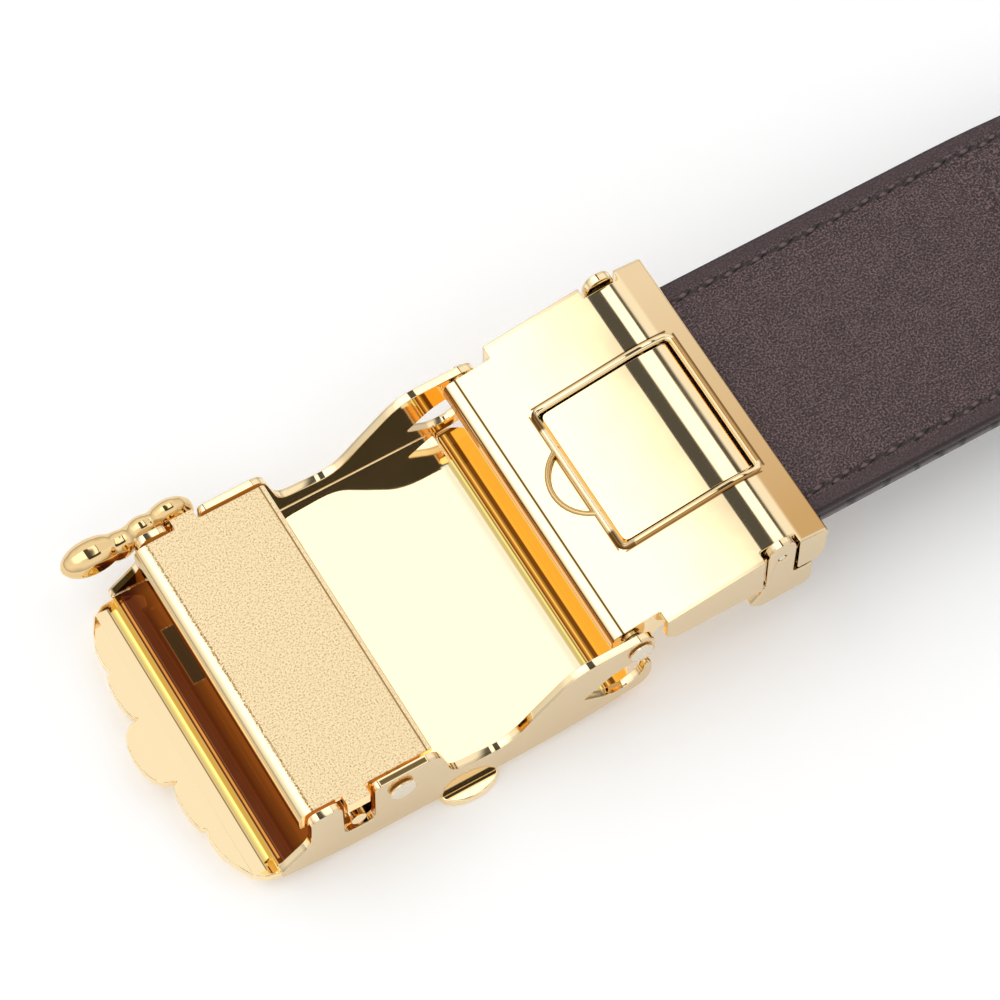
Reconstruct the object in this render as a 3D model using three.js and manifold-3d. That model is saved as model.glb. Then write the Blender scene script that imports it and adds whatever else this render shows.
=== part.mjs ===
// The buckle end of a leather belt, lying face down: a polished ratchet buckle,
// its strap clamp and the strap.
// Millimetres. +X runs along the belt from the buckle to the strap's tip, +Y across it, +Z up.
// The origin is the middle of the flat on the face plate's outer face, which rests on the table.
import * as THREE from 'three';
import { mergeVertices } from 'three/addons/utils/BufferGeometryUtils.js';
import Module from 'manifold-3d';

const wasm = await Module();
wasm.setup();

// Clearances
const SEAM = 0.15; // between pieces that sit against each other
const CUT_CLEARANCE = 0.2; // round a pin in its hole
const SHEET = 1.1; // thickness of the cheeks, cover and base ears

// Face plate: flat in the middle, swept up at both ends
const PLATE_THICKNESS = 1.4;
const PLATE_HALF_WIDTH = 20.3;
const PLATE_FLAT_HALF = 8;
const PLATE_SWEEP = 155; // rise = distance past the flat squared, over this
const PLATE_STEP = 3.2; // spacing of the facets along the sweep
const PLATE_CUSP_X = 26.75; // where the end lobes meet
const CENTRE_LOBE = { halfWidth: 4.6, depth: 3.2 };
const SIDE_LOBE = { halfWidth: 3.5, depth: 1.15 };
// The rounded corners of the plate's ends, as distances past the cusp line and past the last lobe
const CORNER_CURVE = [
  [0.35, 1.2],
  [0.15, 3.4],
  [-0.65, 5.4],
  [-1.8, 7.4],
];
const EDGE_LOBE = { x: 2.6, halfWidth: 3.9, depth: 2.35 }; // the lobe in the middle of each long side

// Channel: floor and cheeks
const CHEEK_INNER_Y = 19.85;
const CHEEK_OUTER_Y = CHEEK_INNER_Y + SHEET;
const FLOOR_TOP = 3.9;
const FLOOR_LEFT_X = -23.1;
const FLOOR_RIGHT_X = 21.9;
const FLOOR_BEVEL = 0.75; // at the right end
const FLOOR_ROLL = { width: 1.0, shoulder: 0.35, drop: 0.3 }; // at the left end
const CHEEK_LEFT_X = -22.2;
const BAR_TOP = 13.0;
const CHEEK_HINGE_TOP = 14.6;
const CHEEK_DIP = 6.0;

// Keeper bar
const BAR_LEFT_X = -17.1;
const BAR_RIGHT_X = -1.4;
const BAR_THICKNESS = 1.0;
const BAR_HALF_WIDTH = 19.55;
const BAR_LIP_RADIUS = 1.6;
const BAR_LIP_DROP = 3.2;
const BAR_EAR = { left: -9.0, right: -2.2, bottom: 8.4 };
const TAB = { left: -13.2, right: -10.2, turn: 1.2 };

// Pawl, its axle and the release lever
const AXLE = { x: -6.2, z: 10.2, radius: 0.9, headRadius: 1.7, headHeight: 0.45 };
const PAWL = { left: -17.2, right: -4.6, bottom: 8.5, thickness: 1.0, halfWidth: 18.0 };
const PAWL_WINDOW = { x: -13.6, halfLength: 6, radius: 1.3 };
const PAWL_EAR = { left: -13.0, right: -10.6, bottom: 6.2, innerY: 18.95, outerY: 19.55 };
const PAWL_ARM = { x: -11.8, z: 7.6, radius: 1.0, nearY: 20.95, farY: 22.4 };

// Balls of the cast lever: centre and half-sizes, from the boss to the thumb end
const LEVER_BALLS = [
  [-12.4, 22.95, 9.6, 3.2, 1.75, 3.2],
  [-15.9, 22.9, 9.9, 2.4, 1.6, 2.0],
  [-19.2, 22.95, 9.1, 2.3, 1.65, 1.75],
  [-22.6, 23.05, 9.5, 3.9, 2.1, 2.0],
];
const LEVER_WAIST_RADIUS = 1.45;
const LEVER_CHEEK_GAP = 0.3;

// Hinge between the channel and the strap clamp
const HINGE = { x: 25.4, z: 12.4, radius: 1.0, headRadius: 1.6, headHeight: 0.25 };

// Clamp cover
const COVER_FRONT_X = 22.5;
const COVER_FRONT_TOP = 15.15;
const COVER_RISE = 0.175; // slope of the cover towards the strap
const COVER_FALL = 0.085; // slope of the end bar, down towards the strap
const COVER_BEND_START_X = 42.2;
const COVER_BEND_END_X = 46.6;
const COVER_BEND_FACETS = 5;
const COVER_END_X = 50.4;
const COVER_ROLL_RADIUS = 1.4;
const TONGUE_HALF_WIDTH = 19.2;
const SHOULDER_X = 28.9;
const SHOULDER_HALF_WIDTH = 21.0;
const FLANGE_BOTTOM = 11.2;
const FLANGE_RIGHT_X = 41.9;
const KNUCKLE_NOTCH = { left: 42.0, right: 46.6, halfWidth: 19.5 };
const END_BAR_BOTTOM = 12.1;

// Flap and its window
const WINDOW = { left: 29.7, right: 47.5, halfWidth: 9.9, corner: 0.8 };
const FLAP_CLEARANCE = 0.35;
const FLAP_SINK = 0.15;
const FLAP_THICKNESS = 1.0;
const FLAP_PIN = { x: 46.4, drop: 1.0, radius: 0.4, halfLength: 11.6 };
const FINGER_NOTCH = { chord: 9.9, depth: 3.5, sink: 0.55 };

// Clamp base
const BASE_TOP = 12.6;
const BASE_THICKNESS = 1.2;
const BASE_LEFT_X = 29.6;
const BASE_RIGHT_X = 48.7;
const BASE_HALF_WIDTH = 18.2;
const FOOT = { left: 42.2, right: 48.7, bottom: 7.0, top: 11.7, lip: 1.9 };
const KNUCKLE = { x: 44.3, z: 18.0, radius: 1.95, pinZ: 16.8, pinRadius: 0.45 };

// Strap: two leather layers
const STRAP_WIDTH = 35;
const STRAP_START_X = 36.6;
const STRAP_TOP = 16.0;
const LINING_THICKNESS = 1.4;
const FACE_THICKNESS = 1.7;
const LAYER_GAP = 0.1;
const STRAP_DROOP_START_X = 88;
const STRAP_DROOP_END_X = 168;
const STRAP_TIP_X = 200;
const STRAP_TIP_LENGTH = 11;
const STRAP_STEPS = 22;

// Colours taken from the photographed finishes
const FINISH = {
  polished: { color: 0xf0c878, metalness: 1, roughness: 0.08 },
  blasted: { color: 0xe3c48c, metalness: 1, roughness: 0.45 },
  rivet: { color: 0xd9cdb4, metalness: 1, roughness: 0.2 },
  lining: { color: 0x54464a, metalness: 0, roughness: 0.55 },
  crocodile: { color: 0x3a2a28, metalness: 0, roughness: 0.35 },
};

// Turns a three.js geometry into a solid that can be joined and cut.
function solid(geometry) {
  const bare = geometry.clone();
  bare.deleteAttribute('normal');
  bare.deleteAttribute('uv');
  const merged = mergeVertices(bare, 1e-4);
  return new wasm.Manifold(
    new wasm.Mesh({
      numProp: 3,
      vertProperties: merged.attributes.position.array,
      triVerts: new Uint32Array(merged.index.array),
    }),
  );
}

// Turns a solid back into a named mesh with its finish.
function piece(name, made, finish) {
  const data = made.getMesh();
  const geometry = new THREE.BufferGeometry();
  geometry.setAttribute('position', new THREE.BufferAttribute(data.vertProperties, 3));
  geometry.setIndex(new THREE.BufferAttribute(data.triVerts, 1));
  geometry.computeVertexNormals();
  const mesh = new THREE.Mesh(geometry, new THREE.MeshStandardMaterial(finish));
  mesh.name = name;
  return mesh;
}

const joinAll = (parts) => parts.reduce((sum, part) => sum.add(part));

// An outline in X and Z, extruded across the belt from one Y to another.
function slab(shape, fromY, toY, curveSegments = 6) {
  const geometry = new THREE.ExtrudeGeometry(shape, {
    depth: toY - fromY,
    bevelEnabled: false,
    curveSegments,
  });
  geometry.rotateX(Math.PI / 2);
  geometry.translate(0, toY, 0);
  return solid(geometry);
}

// An outline in X and Y, extruded upwards from one height to another.
function pad(shape, fromZ, toZ, curveSegments = 6) {
  const geometry = new THREE.ExtrudeGeometry(shape, {
    depth: toZ - fromZ,
    bevelEnabled: false,
    curveSegments,
  });
  geometry.translate(0, 0, fromZ);
  return solid(geometry);
}

// A block between two corners.
function block(x0, x1, y0, y1, z0, z1) {
  const geometry = new THREE.BoxGeometry(x1 - x0, y1 - y0, z1 - z0);
  geometry.translate((x0 + x1) / 2, (y0 + y1) / 2, (z0 + z1) / 2);
  return solid(geometry);
}

// A round bar across the belt.
function rod(x, z, radius, fromY, toY, sides = 16) {
  const geometry = new THREE.CylinderGeometry(radius, radius, toY - fromY, sides);
  geometry.translate(x, (fromY + toY) / 2, z);
  return solid(geometry);
}

// The same solid on both sides of the belt.
function bothSides(make) {
  const near = make(-1);
  return near.add(make(1));
}

// A slab between two distances from the middle, on one side of the belt.
function sideSlab(shape, innerY, outerY, side, curveSegments) {
  return side > 0 ? slab(shape, innerY, outerY, curveSegments) : slab(shape, -outerY, -innerY, curveSegments);
}

// A block between two distances from the middle, on one side of the belt.
function sideBlock(x0, x1, innerY, outerY, z0, z1, side) {
  return side > 0 ? block(x0, x1, innerY, outerY, z0, z1) : block(x0, x1, -outerY, -innerY, z0, z1);
}

function shapeOf(points) {
  return new THREE.Shape(points.map(([a, b]) => new THREE.Vector2(a, b)));
}

// An outline whose corners are rounded, each point given as [a, b, radius].
function roundedShape(points) {
  const shape = new THREE.Shape();
  const count = points.length;
  points.forEach(([a, b, radius = 0], i) => {
    const corner = new THREE.Vector2(a, b);
    const before = new THREE.Vector2(...points[(i + count - 1) % count].slice(0, 2));
    const after = new THREE.Vector2(...points[(i + 1) % count].slice(0, 2));
    const reach = (other) => Math.min(radius, corner.distanceTo(other) * 0.49);
    const start = corner.clone().lerp(before, reach(before) / corner.distanceTo(before));
    const end = corner.clone().lerp(after, reach(after) / corner.distanceTo(after));
    if (i === 0) {
      shape.moveTo(start.x, start.y);
    } else {
      shape.lineTo(start.x, start.y);
    }
    if (radius > 0) {
      shape.quadraticCurveTo(corner.x, corner.y, end.x, end.y);
    }
  });
  shape.closePath();
  return shape;
}

// Height of the face plate's outer face above the table.
function sweep(x) {
  const past = Math.max(0, Math.abs(x) - PLATE_FLAT_HALF);
  return (past * past) / PLATE_SWEEP;
}

// Positions along the sweep, from one X to another, that share the plate's facets.
function sweepStations(fromX, toX) {
  const stations = [];
  const last = Math.ceil(34 / PLATE_STEP);
  for (let i = -last; i <= last; i += 1) {
    const x = Math.sign(i) * (PLATE_FLAT_HALF + (Math.abs(i) - 1) * PLATE_STEP);
    if (i !== 0 && x > fromX + 0.2 && x < toX - 0.2) {
      stations.push(x);
    }
  }
  return [fromX, ...stations, toX];
}

// A line that follows the sweep at a given height over it.
function sweepLine(fromX, toX, height) {
  const stations = sweepStations(fromX, toX);
  return stations.map((x) => [x, facetHeight(x) + height]);
}

// The height of the faceted sweep itself, which lies a little over the true curve between stations.
function facetHeight(x) {
  const past = Math.abs(x) - PLATE_FLAT_HALF;
  if (past <= 0) {
    return 0;
  }
  const step = Math.floor(past / PLATE_STEP);
  const a = PLATE_FLAT_HALF + step * PLATE_STEP;
  const b = a + PLATE_STEP;
  const share = (Math.abs(x) - a) / PLATE_STEP;
  return sweep(a) * (1 - share) + sweep(b) * share;
}

// A lobe of a scalloped edge, as points from one cusp to the next.
function lobe(centre, halfWidth, depth, sides, place) {
  const points = [];
  for (let i = 0; i <= sides; i += 1) {
    const turn = Math.PI * (1 - i / sides);
    const along = centre + halfWidth * Math.cos(turn);
    const out = depth * Math.sin(turn) ** 0.8;
    points.push(place(along, out));
  }
  return points;
}

// Half of the scalloped outline, the end towards negative X, from the far long side to the near one.
function plateEnd() {
  const place = (along, out) => [-PLATE_CUSP_X - out, -along];
  const sideCentre = CENTRE_LOBE.halfWidth + SIDE_LOBE.halfWidth;
  const armEnd = CENTRE_LOBE.halfWidth + 2 * SIDE_LOBE.halfWidth;
  const corner = (side) => [
    ...CORNER_CURVE.map(([out, along]) => [-PLATE_CUSP_X - out, side * (armEnd + along)]),
    [-PLATE_CUSP_X + 3.3, side * (PLATE_HALF_WIDTH - 0.25)],
    [-PLATE_CUSP_X + 5.0, side * PLATE_HALF_WIDTH],
  ];
  return [
    ...corner(1).reverse(),
    ...lobe(-sideCentre, SIDE_LOBE.halfWidth, SIDE_LOBE.depth, 6, place),
    ...lobe(0, CENTRE_LOBE.halfWidth, CENTRE_LOBE.depth, 8, place).slice(1),
    ...lobe(sideCentre, SIDE_LOBE.halfWidth, SIDE_LOBE.depth, 6, place).slice(1),
    ...corner(-1),
  ];
}

function platePlan() {
  const left = plateEnd();
  const nearLobe = lobe(EDGE_LOBE.x, EDGE_LOBE.halfWidth, EDGE_LOBE.depth, 8, (along, out) => [
    along,
    -PLATE_HALF_WIDTH - out,
  ]);
  const turned = (points) => points.map(([x, y]) => [-x, -y]);
  const farLobe = lobe(-EDGE_LOBE.x, EDGE_LOBE.halfWidth, EDGE_LOBE.depth, 8, (along, out) => [
    -along,
    PLATE_HALF_WIDTH + out,
  ]);
  return shapeOf([...left, ...nearLobe, ...turned(left), ...farLobe]);
}

function facePlate() {
  const reach = PLATE_CUSP_X + CENTRE_LOBE.depth + 1;
  const under = sweepLine(-reach, reach, 0);
  const over = sweepLine(-reach, reach, PLATE_THICKNESS).reverse();
  const bent = slab(shapeOf([...under, ...over]), -30, 30);
  return bent.intersect(pad(platePlan(), -1, 12));
}

// The side view of a cheek, with the slot for the pawl's arm and the fish-tail window by the hinge.
function cheekShape() {
  const foot = sweepLine(CHEEK_LEFT_X, 25.6, PLATE_THICKNESS + SEAM).map(([x, z]) => [x, z, 0]);
  const points = [
    ...foot,
    [27.1, 4.9, 2.2],
    [27.0, 8.2, 0.5],
    [26.1, 8.0, 0.4],
    [25.8, 6.0, 1.4],
    [23.4, 4.9, 0.6],
    [21.2, 5.0, 0.6],
    [17.8, 7.2, 0.5],
    [21.4, 9.7, 0.8],
    [24.4, 10.4, 0.8],
    [27.0, 10.4, 0.5],
    [27.5, 12.4, 1.2],
    [27.1, CHEEK_HINGE_TOP, 1.8],
    [17.0, CHEEK_HINGE_TOP, 2.6],
    [11.4, 9.4, 2.2],
    [8.0, CHEEK_DIP, 2.4],
    [0.6, CHEEK_DIP + 0.6, 1.6],
    [-1.2, BAR_TOP, 1.5],
    [-9.6, BAR_TOP, 0.8],
    [-9.7, 5.6, 1.0],
    [-13.7, 5.6, 1.0],
    [-13.8, BAR_TOP, 1.2],
    [-17.8, BAR_TOP, 1.2],
    [-18.0, 7.3, 1.4],
    [CHEEK_LEFT_X, FLOOR_TOP, 1.4],
  ];
  return roundedShape(points);
}

function floorShape() {
  const under = sweepLine(FLOOR_LEFT_X + 0.4, FLOOR_RIGHT_X, PLATE_THICKNESS + SEAM);
  return shapeOf([
    ...under,
    [FLOOR_RIGHT_X - 0.15, FLOOR_TOP - 0.55],
    [FLOOR_RIGHT_X - FLOOR_BEVEL, FLOOR_TOP],
    [FLOOR_LEFT_X + FLOOR_ROLL.width, FLOOR_TOP],
    [FLOOR_LEFT_X + FLOOR_ROLL.shoulder, FLOOR_TOP - FLOOR_ROLL.drop],
    [FLOOR_LEFT_X, facetHeight(FLOOR_LEFT_X) + PLATE_THICKNESS + SEAM + 0.25],
  ]);
}

function frameChannel() {
  const cheeks = bothSides((side) => sideSlab(cheekShape(), CHEEK_INNER_Y, CHEEK_OUTER_Y, side, 4));
  const floor = slab(floorShape(), -CHEEK_INNER_Y - 0.2, CHEEK_INNER_Y + 0.2);
  const corners = block(FLOOR_LEFT_X - 1, CHEEK_LEFT_X + 0.2, 18.4, 22, 2, 6).add(
    block(FLOOR_LEFT_X - 1, CHEEK_LEFT_X + 0.2, -22, -18.4, 2, 6),
  );
  const bores = rod(AXLE.x, AXLE.z, AXLE.radius + CUT_CLEARANCE, -25, 25).add(
    rod(HINGE.x, HINGE.z, HINGE.radius + CUT_CLEARANCE, -25, 25),
  );
  return cheeks.add(floor).subtract(corners).subtract(bores);
}

function keeperBar() {
  const inner = BAR_TOP - BAR_THICKNESS;
  const outerLip = BAR_LEFT_X - BAR_LIP_RADIUS;
  const profile = roundedShape([
    [BAR_RIGHT_X, BAR_TOP - 0.25],
    [BAR_RIGHT_X - 0.3, BAR_TOP],
    [outerLip, BAR_TOP, BAR_LIP_RADIUS * 1.2],
    [outerLip, BAR_TOP - BAR_LIP_DROP, 0.3],
    [outerLip + BAR_THICKNESS, BAR_TOP - BAR_LIP_DROP, 0.3],
    [outerLip + BAR_THICKNESS, inner, BAR_LIP_RADIUS * 0.7],
    [BAR_RIGHT_X, inner],
  ]);
  const plate = slab(profile, -BAR_HALF_WIDTH, BAR_HALF_WIDTH, 5);
  const tabs = bothSides((side) => {
    const out = sideBlock(TAB.left, TAB.right, 18, CHEEK_OUTER_Y, inner, BAR_TOP, side);
    const bottom = inner - TAB.turn;
    return out.add(sideBlock(TAB.left, TAB.right, CHEEK_INNER_Y, CHEEK_OUTER_Y, bottom, BAR_TOP, side));
  });
  const earShape = roundedShape([
    [BAR_EAR.left, inner + 0.5],
    [BAR_EAR.left, BAR_EAR.bottom, 1.4],
    [BAR_EAR.right, BAR_EAR.bottom, 1.4],
    [BAR_EAR.right, inner + 0.5],
  ]);
  const ears = bothSides((side) => sideSlab(earShape, BAR_HALF_WIDTH - 1, BAR_HALF_WIDTH, side, 4));
  return joinAll([plate, tabs, ears]).subtract(rod(AXLE.x, AXLE.z, AXLE.radius + CUT_CLEARANCE, -25, 25));
}

// A pin across the belt with a flat head beyond each cheek.
function pawlAxle() {
  const shaft = rod(AXLE.x, AXLE.z, AXLE.radius, -CHEEK_OUTER_Y - SEAM - 0.1, CHEEK_OUTER_Y + SEAM + 0.1);
  const heads = bothSides((side) => {
    const from = CHEEK_OUTER_Y + SEAM;
    const to = from + AXLE.headHeight;
    return side > 0
      ? rod(AXLE.x, AXLE.z, AXLE.headRadius, from, to)
      : rod(AXLE.x, AXLE.z, AXLE.headRadius, -to, -from);
  });
  return shaft.add(heads);
}

function pawl() {
  const top = PAWL.bottom + PAWL.thickness;
  const profile = roundedShape([
    [PAWL.left, PAWL.bottom - 0.2, 0.2],
    [PAWL.left + 1.2, PAWL.bottom, 0.4],
    [AXLE.x + 1.6, PAWL.bottom + 0.1, 0.8],
    [AXLE.x + 1.9, AXLE.z + 1.4, 0.9],
    [AXLE.x - 1.7, AXLE.z + 1.3, 0.9],
    [AXLE.x - 3.0, top, 0.8],
    [PAWL.left, top, 0.3],
  ]);
  const plate = slab(profile, -PAWL.halfWidth, PAWL.halfWidth, 4);
  const windowShape = new THREE.Shape();
  windowShape.absarc(PAWL_WINDOW.x, PAWL_WINDOW.halfLength, PAWL_WINDOW.radius, 0, Math.PI, false);
  windowShape.absarc(PAWL_WINDOW.x, -PAWL_WINDOW.halfLength, PAWL_WINDOW.radius, Math.PI, 2 * Math.PI, false);
  windowShape.closePath();
  const bore = rod(AXLE.x, AXLE.z, AXLE.radius + CUT_CLEARANCE, -25, 25);
  const sidePlates = bothSides((side) => {
    const bridge = sideBlock(PAWL_EAR.left, PAWL_EAR.right, 17, PAWL_EAR.outerY, PAWL.bottom, top, side);
    const ear = sideBlock(
      PAWL_EAR.left,
      PAWL_EAR.right,
      PAWL_EAR.innerY,
      PAWL_EAR.outerY,
      PAWL_EAR.bottom,
      top,
      side,
    );
    return bridge.add(ear);
  });
  const nearArm = rod(PAWL_ARM.x, PAWL_ARM.z, PAWL_ARM.radius, -PAWL_ARM.nearY, -PAWL_EAR.innerY - 0.1, 12);
  const farArm = rod(PAWL_ARM.x, PAWL_ARM.z, PAWL_ARM.radius, PAWL_EAR.innerY + 0.1, PAWL_ARM.farY, 12);
  const open = plate.subtract(pad(windowShape, 5, 12, 5)).subtract(bore);
  return joinAll([open, sidePlates, nearArm, farArm]);
}

// A ball stretched along the axes, for the cast lever.
function bead(x, y, z, rx, ry, rz) {
  const geometry = new THREE.SphereGeometry(1, 14, 9);
  geometry.scale(rx, ry, rz);
  geometry.translate(x, y, z);
  return solid(geometry);
}

// The cast lever: a boss on the pawl's arm, a waist and an egg-shaped thumb end, as balls strung on a bent path.
function releaseLever() {
  const string = LEVER_BALLS.map(([x, y, z, rx, ry, rz]) => bead(x, y, z, rx, ry, rz));
  const waistPath = new THREE.CatmullRomCurve3(LEVER_BALLS.map(([x, y, z]) => new THREE.Vector3(x, y, z)));
  const section = new THREE.Shape();
  section.absarc(0, 0, LEVER_WAIST_RADIUS, 0, 2 * Math.PI, false);
  const waist = solid(
    new THREE.ExtrudeGeometry(section, {
      steps: 10,
      curveSegments: 6,
      extrudePath: waistPath,
      bevelEnabled: false,
    }),
  );
  const lever = joinAll([...string, waist]);
  const inside = block(-30, -5, 15, CHEEK_OUTER_Y + LEVER_CHEEK_GAP, 0, 20);
  const boreRadius = PAWL_ARM.radius + CUT_CLEARANCE;
  const armBore = rod(PAWL_ARM.x, PAWL_ARM.z, boreRadius, 20, PAWL_ARM.farY + CUT_CLEARANCE, 12);
  return lever.subtract(inside).subtract(armBore);
}

function hingeRivet(side) {
  const from = TONGUE_HALF_WIDTH - SHEET - 0.3;
  const head = CHEEK_OUTER_Y + SEAM;
  const shaft = side > 0
    ? rod(HINGE.x, HINGE.z, HINGE.radius, from, head + 0.1)
    : rod(HINGE.x, HINGE.z, HINGE.radius, -head - 0.1, -from);
  const cap = side > 0
    ? rod(HINGE.x, HINGE.z, HINGE.headRadius, head, head + HINGE.headHeight)
    : rod(HINGE.x, HINGE.z, HINGE.headRadius, -head - HINGE.headHeight, -head);
  return shaft.add(cap);
}

// Height of the cover's outer face: a straight rise, a rounded bend and a straight fall.
function coverTop(x) {
  const bendLength = COVER_BEND_END_X - COVER_BEND_START_X;
  const turn = COVER_RISE + COVER_FALL;
  const start = COVER_FRONT_X + COVER_ROLL_RADIUS;
  const rise = COVER_FRONT_TOP + COVER_RISE * (Math.min(x, COVER_BEND_START_X) - start);
  const bent = THREE.MathUtils.clamp(x - COVER_BEND_START_X, 0, bendLength);
  const fall = COVER_FALL * Math.max(0, x - COVER_BEND_END_X);
  return rise + COVER_RISE * bent - (turn * bent * bent) / (2 * bendLength) - fall;
}

function coverLine(fromX, toX, drop) {
  const stations = [fromX];
  for (let i = 0; i <= COVER_BEND_FACETS; i += 1) {
    const x = THREE.MathUtils.lerp(COVER_BEND_START_X, COVER_BEND_END_X, i / COVER_BEND_FACETS);
    if (x > fromX + 0.1 && x < toX - 0.1) {
      stations.push(x);
    }
  }
  stations.push(toX);
  return stations.map((x) => [x, coverTop(x) - drop]);
}

// A stretch of the bent cover sheet between two X positions.
function coverSheet(fromX, toX, drop = 0, thickness = SHEET) {
  const over = coverLine(fromX, toX, drop);
  const under = coverLine(fromX, toX, drop + thickness).reverse();
  return shapeOf([...over, ...under].reverse());
}

function windowPlan(grow) {
  const left = WINDOW.left - grow;
  const right = WINDOW.right + grow;
  const half = WINDOW.halfWidth + grow;
  return roundedShape([
    [left, -half, WINDOW.corner],
    [right, -half, WINDOW.corner],
    [right, half, WINDOW.corner],
    [left, half, WINDOW.corner],
  ]);
}

function clampCover() {
  const rollStart = COVER_FRONT_X + COVER_ROLL_RADIUS;
  const topAtRoll = coverTop(rollStart);
  const roll = roundedShape([
    [rollStart + 0.4, coverTop(rollStart + 0.4)],
    [COVER_FRONT_X, coverTop(COVER_FRONT_X), COVER_ROLL_RADIUS],
    [COVER_FRONT_X, topAtRoll - 2.4, 0.3],
    [COVER_FRONT_X + 1.0, topAtRoll - 2.4, 0.3],
    [COVER_FRONT_X + 1.0, topAtRoll - SHEET, 0.5],
    [rollStart + 0.4, coverTop(rollStart + 0.4) - SHEET],
  ]);
  const tongue = slab(coverSheet(rollStart, SHOULDER_X + 1), -TONGUE_HALF_WIDTH, TONGUE_HALF_WIDTH);
  const rolled = slab(roll, -TONGUE_HALF_WIDTH, TONGUE_HALF_WIDTH, 5);
  const middle = slab(coverSheet(SHOULDER_X, FLANGE_RIGHT_X), -SHOULDER_HALF_WIDTH, SHOULDER_HALF_WIDTH);
  const neck = slab(
    coverSheet(FLANGE_RIGHT_X - 0.5, KNUCKLE_NOTCH.right + 0.5),
    -KNUCKLE_NOTCH.halfWidth,
    KNUCKLE_NOTCH.halfWidth,
  );
  const endHalf = SHOULDER_HALF_WIDTH - 0.1;
  const end = slab(coverSheet(KNUCKLE_NOTCH.right, COVER_END_X - 0.6), -endHalf, endHalf);
  const endTop = coverTop(COVER_END_X);
  const lipShape = roundedShape(
    [
      [COVER_END_X - 1.2, coverTop(COVER_END_X - 1.2)],
      [COVER_END_X - 1.2, STRAP_TOP + SEAM],
      [COVER_END_X - 0.1, STRAP_TOP + SEAM, 0.2],
      [COVER_END_X + 0.1, endTop - 1.0, 0.3],
      [COVER_END_X, endTop, 0.9],
    ].reverse(),
  );
  const lip = slab(lipShape, -endHalf, endHalf, 4);
  const flangeShape = shapeOf([
    [SHOULDER_X, FLANGE_BOTTOM + 1.2],
    [SHOULDER_X + 1.2, FLANGE_BOTTOM],
    [FLANGE_RIGHT_X, FLANGE_BOTTOM],
    [FLANGE_RIGHT_X, coverTop(FLANGE_RIGHT_X) - 0.3],
    [SHOULDER_X, coverTop(SHOULDER_X) - 0.3],
  ]);
  const flanges = bothSides((side) =>
    sideSlab(flangeShape, SHOULDER_HALF_WIDTH - SHEET, SHOULDER_HALF_WIDTH, side),
  );
  const endCheekShape = roundedShape([
    [KNUCKLE_NOTCH.right, coverTop(KNUCKLE_NOTCH.right) - 0.3],
    [KNUCKLE_NOTCH.right, END_BAR_BOTTOM, 0.4],
    [COVER_END_X - 0.6, END_BAR_BOTTOM, 0.8],
    [COVER_END_X + 0.1, 15.0, 1.4],
    [COVER_END_X - 0.4, endTop - 0.2, 0.4],
  ]);
  const endCheeks = bothSides((side) => sideSlab(endCheekShape, endHalf - SHEET, endHalf, side, 4));
  const earShape = roundedShape([
    [HINGE.x - 2.3, coverTop(HINGE.x - 2.3) - 0.4],
    [HINGE.x - 2.4, HINGE.z - 1.9, 1.6],
    [HINGE.x + 2.2, HINGE.z - 1.9, 1.6],
    [SHOULDER_X + 0.9, FLANGE_BOTTOM + 1.2, 0.6],
    [SHOULDER_X + 0.9, coverTop(SHOULDER_X + 0.9) - 0.4],
  ]);
  const ears = bothSides((side) => sideSlab(earShape, TONGUE_HALF_WIDTH - SHEET, TONGUE_HALF_WIDTH, side, 4));
  const lugShape = roundedShape([
    [FLAP_PIN.x - 1.1, coverTop(FLAP_PIN.x - 1.1) - 0.5],
    [FLAP_PIN.x - 1.0, coverTop(FLAP_PIN.x) - FLAP_PIN.drop - 0.85, 0.3],
    [FLAP_PIN.x + 0.9, coverTop(FLAP_PIN.x) - FLAP_PIN.drop - 0.85, 0.3],
    [FLAP_PIN.x + 1.1, coverTop(FLAP_PIN.x + 1.1) - 0.5],
  ]);
  const lugs = bothSides((side) => {
    return sideSlab(lugShape, WINDOW.halfWidth + 0.4, FLAP_PIN.halfLength + 0.5, side);
  });
  const body = joinAll([tongue, rolled, middle, neck, end, lip, flanges, endCheeks, ears, lugs]);

  const opening = pad(windowPlan(0), 5, 25, 3);
  const notchRadius = (FINGER_NOTCH.chord ** 2 / 4 + FINGER_NOTCH.depth ** 2) / (2 * FINGER_NOTCH.depth);
  const notchX = WINDOW.left - FINGER_NOTCH.depth + notchRadius;
  const notchDisc = new THREE.Shape();
  notchDisc.absarc(notchX, 0, notchRadius, 0, 2 * Math.PI, false);
  const notchColumn = pad(notchDisc, 5, 25, 14).intersect(block(20, WINDOW.left + 0.2, -8, 8, 5, 25));
  const notch = notchColumn.intersect(slab(coverSheet(24, 31, -2, FINGER_NOTCH.sink + 2), -8, 8));
  const pinBore = rod(
    FLAP_PIN.x,
    coverTop(FLAP_PIN.x) - FLAP_PIN.drop,
    FLAP_PIN.radius + SEAM,
    -FLAP_PIN.halfLength - SEAM,
    FLAP_PIN.halfLength + SEAM,
    12,
  );
  const hingeBore = rod(HINGE.x, HINGE.z, HINGE.radius + CUT_CLEARANCE, -25, 25);
  return body.subtract(opening).subtract(notch).subtract(pinBore).subtract(hingeBore);
}

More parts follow.
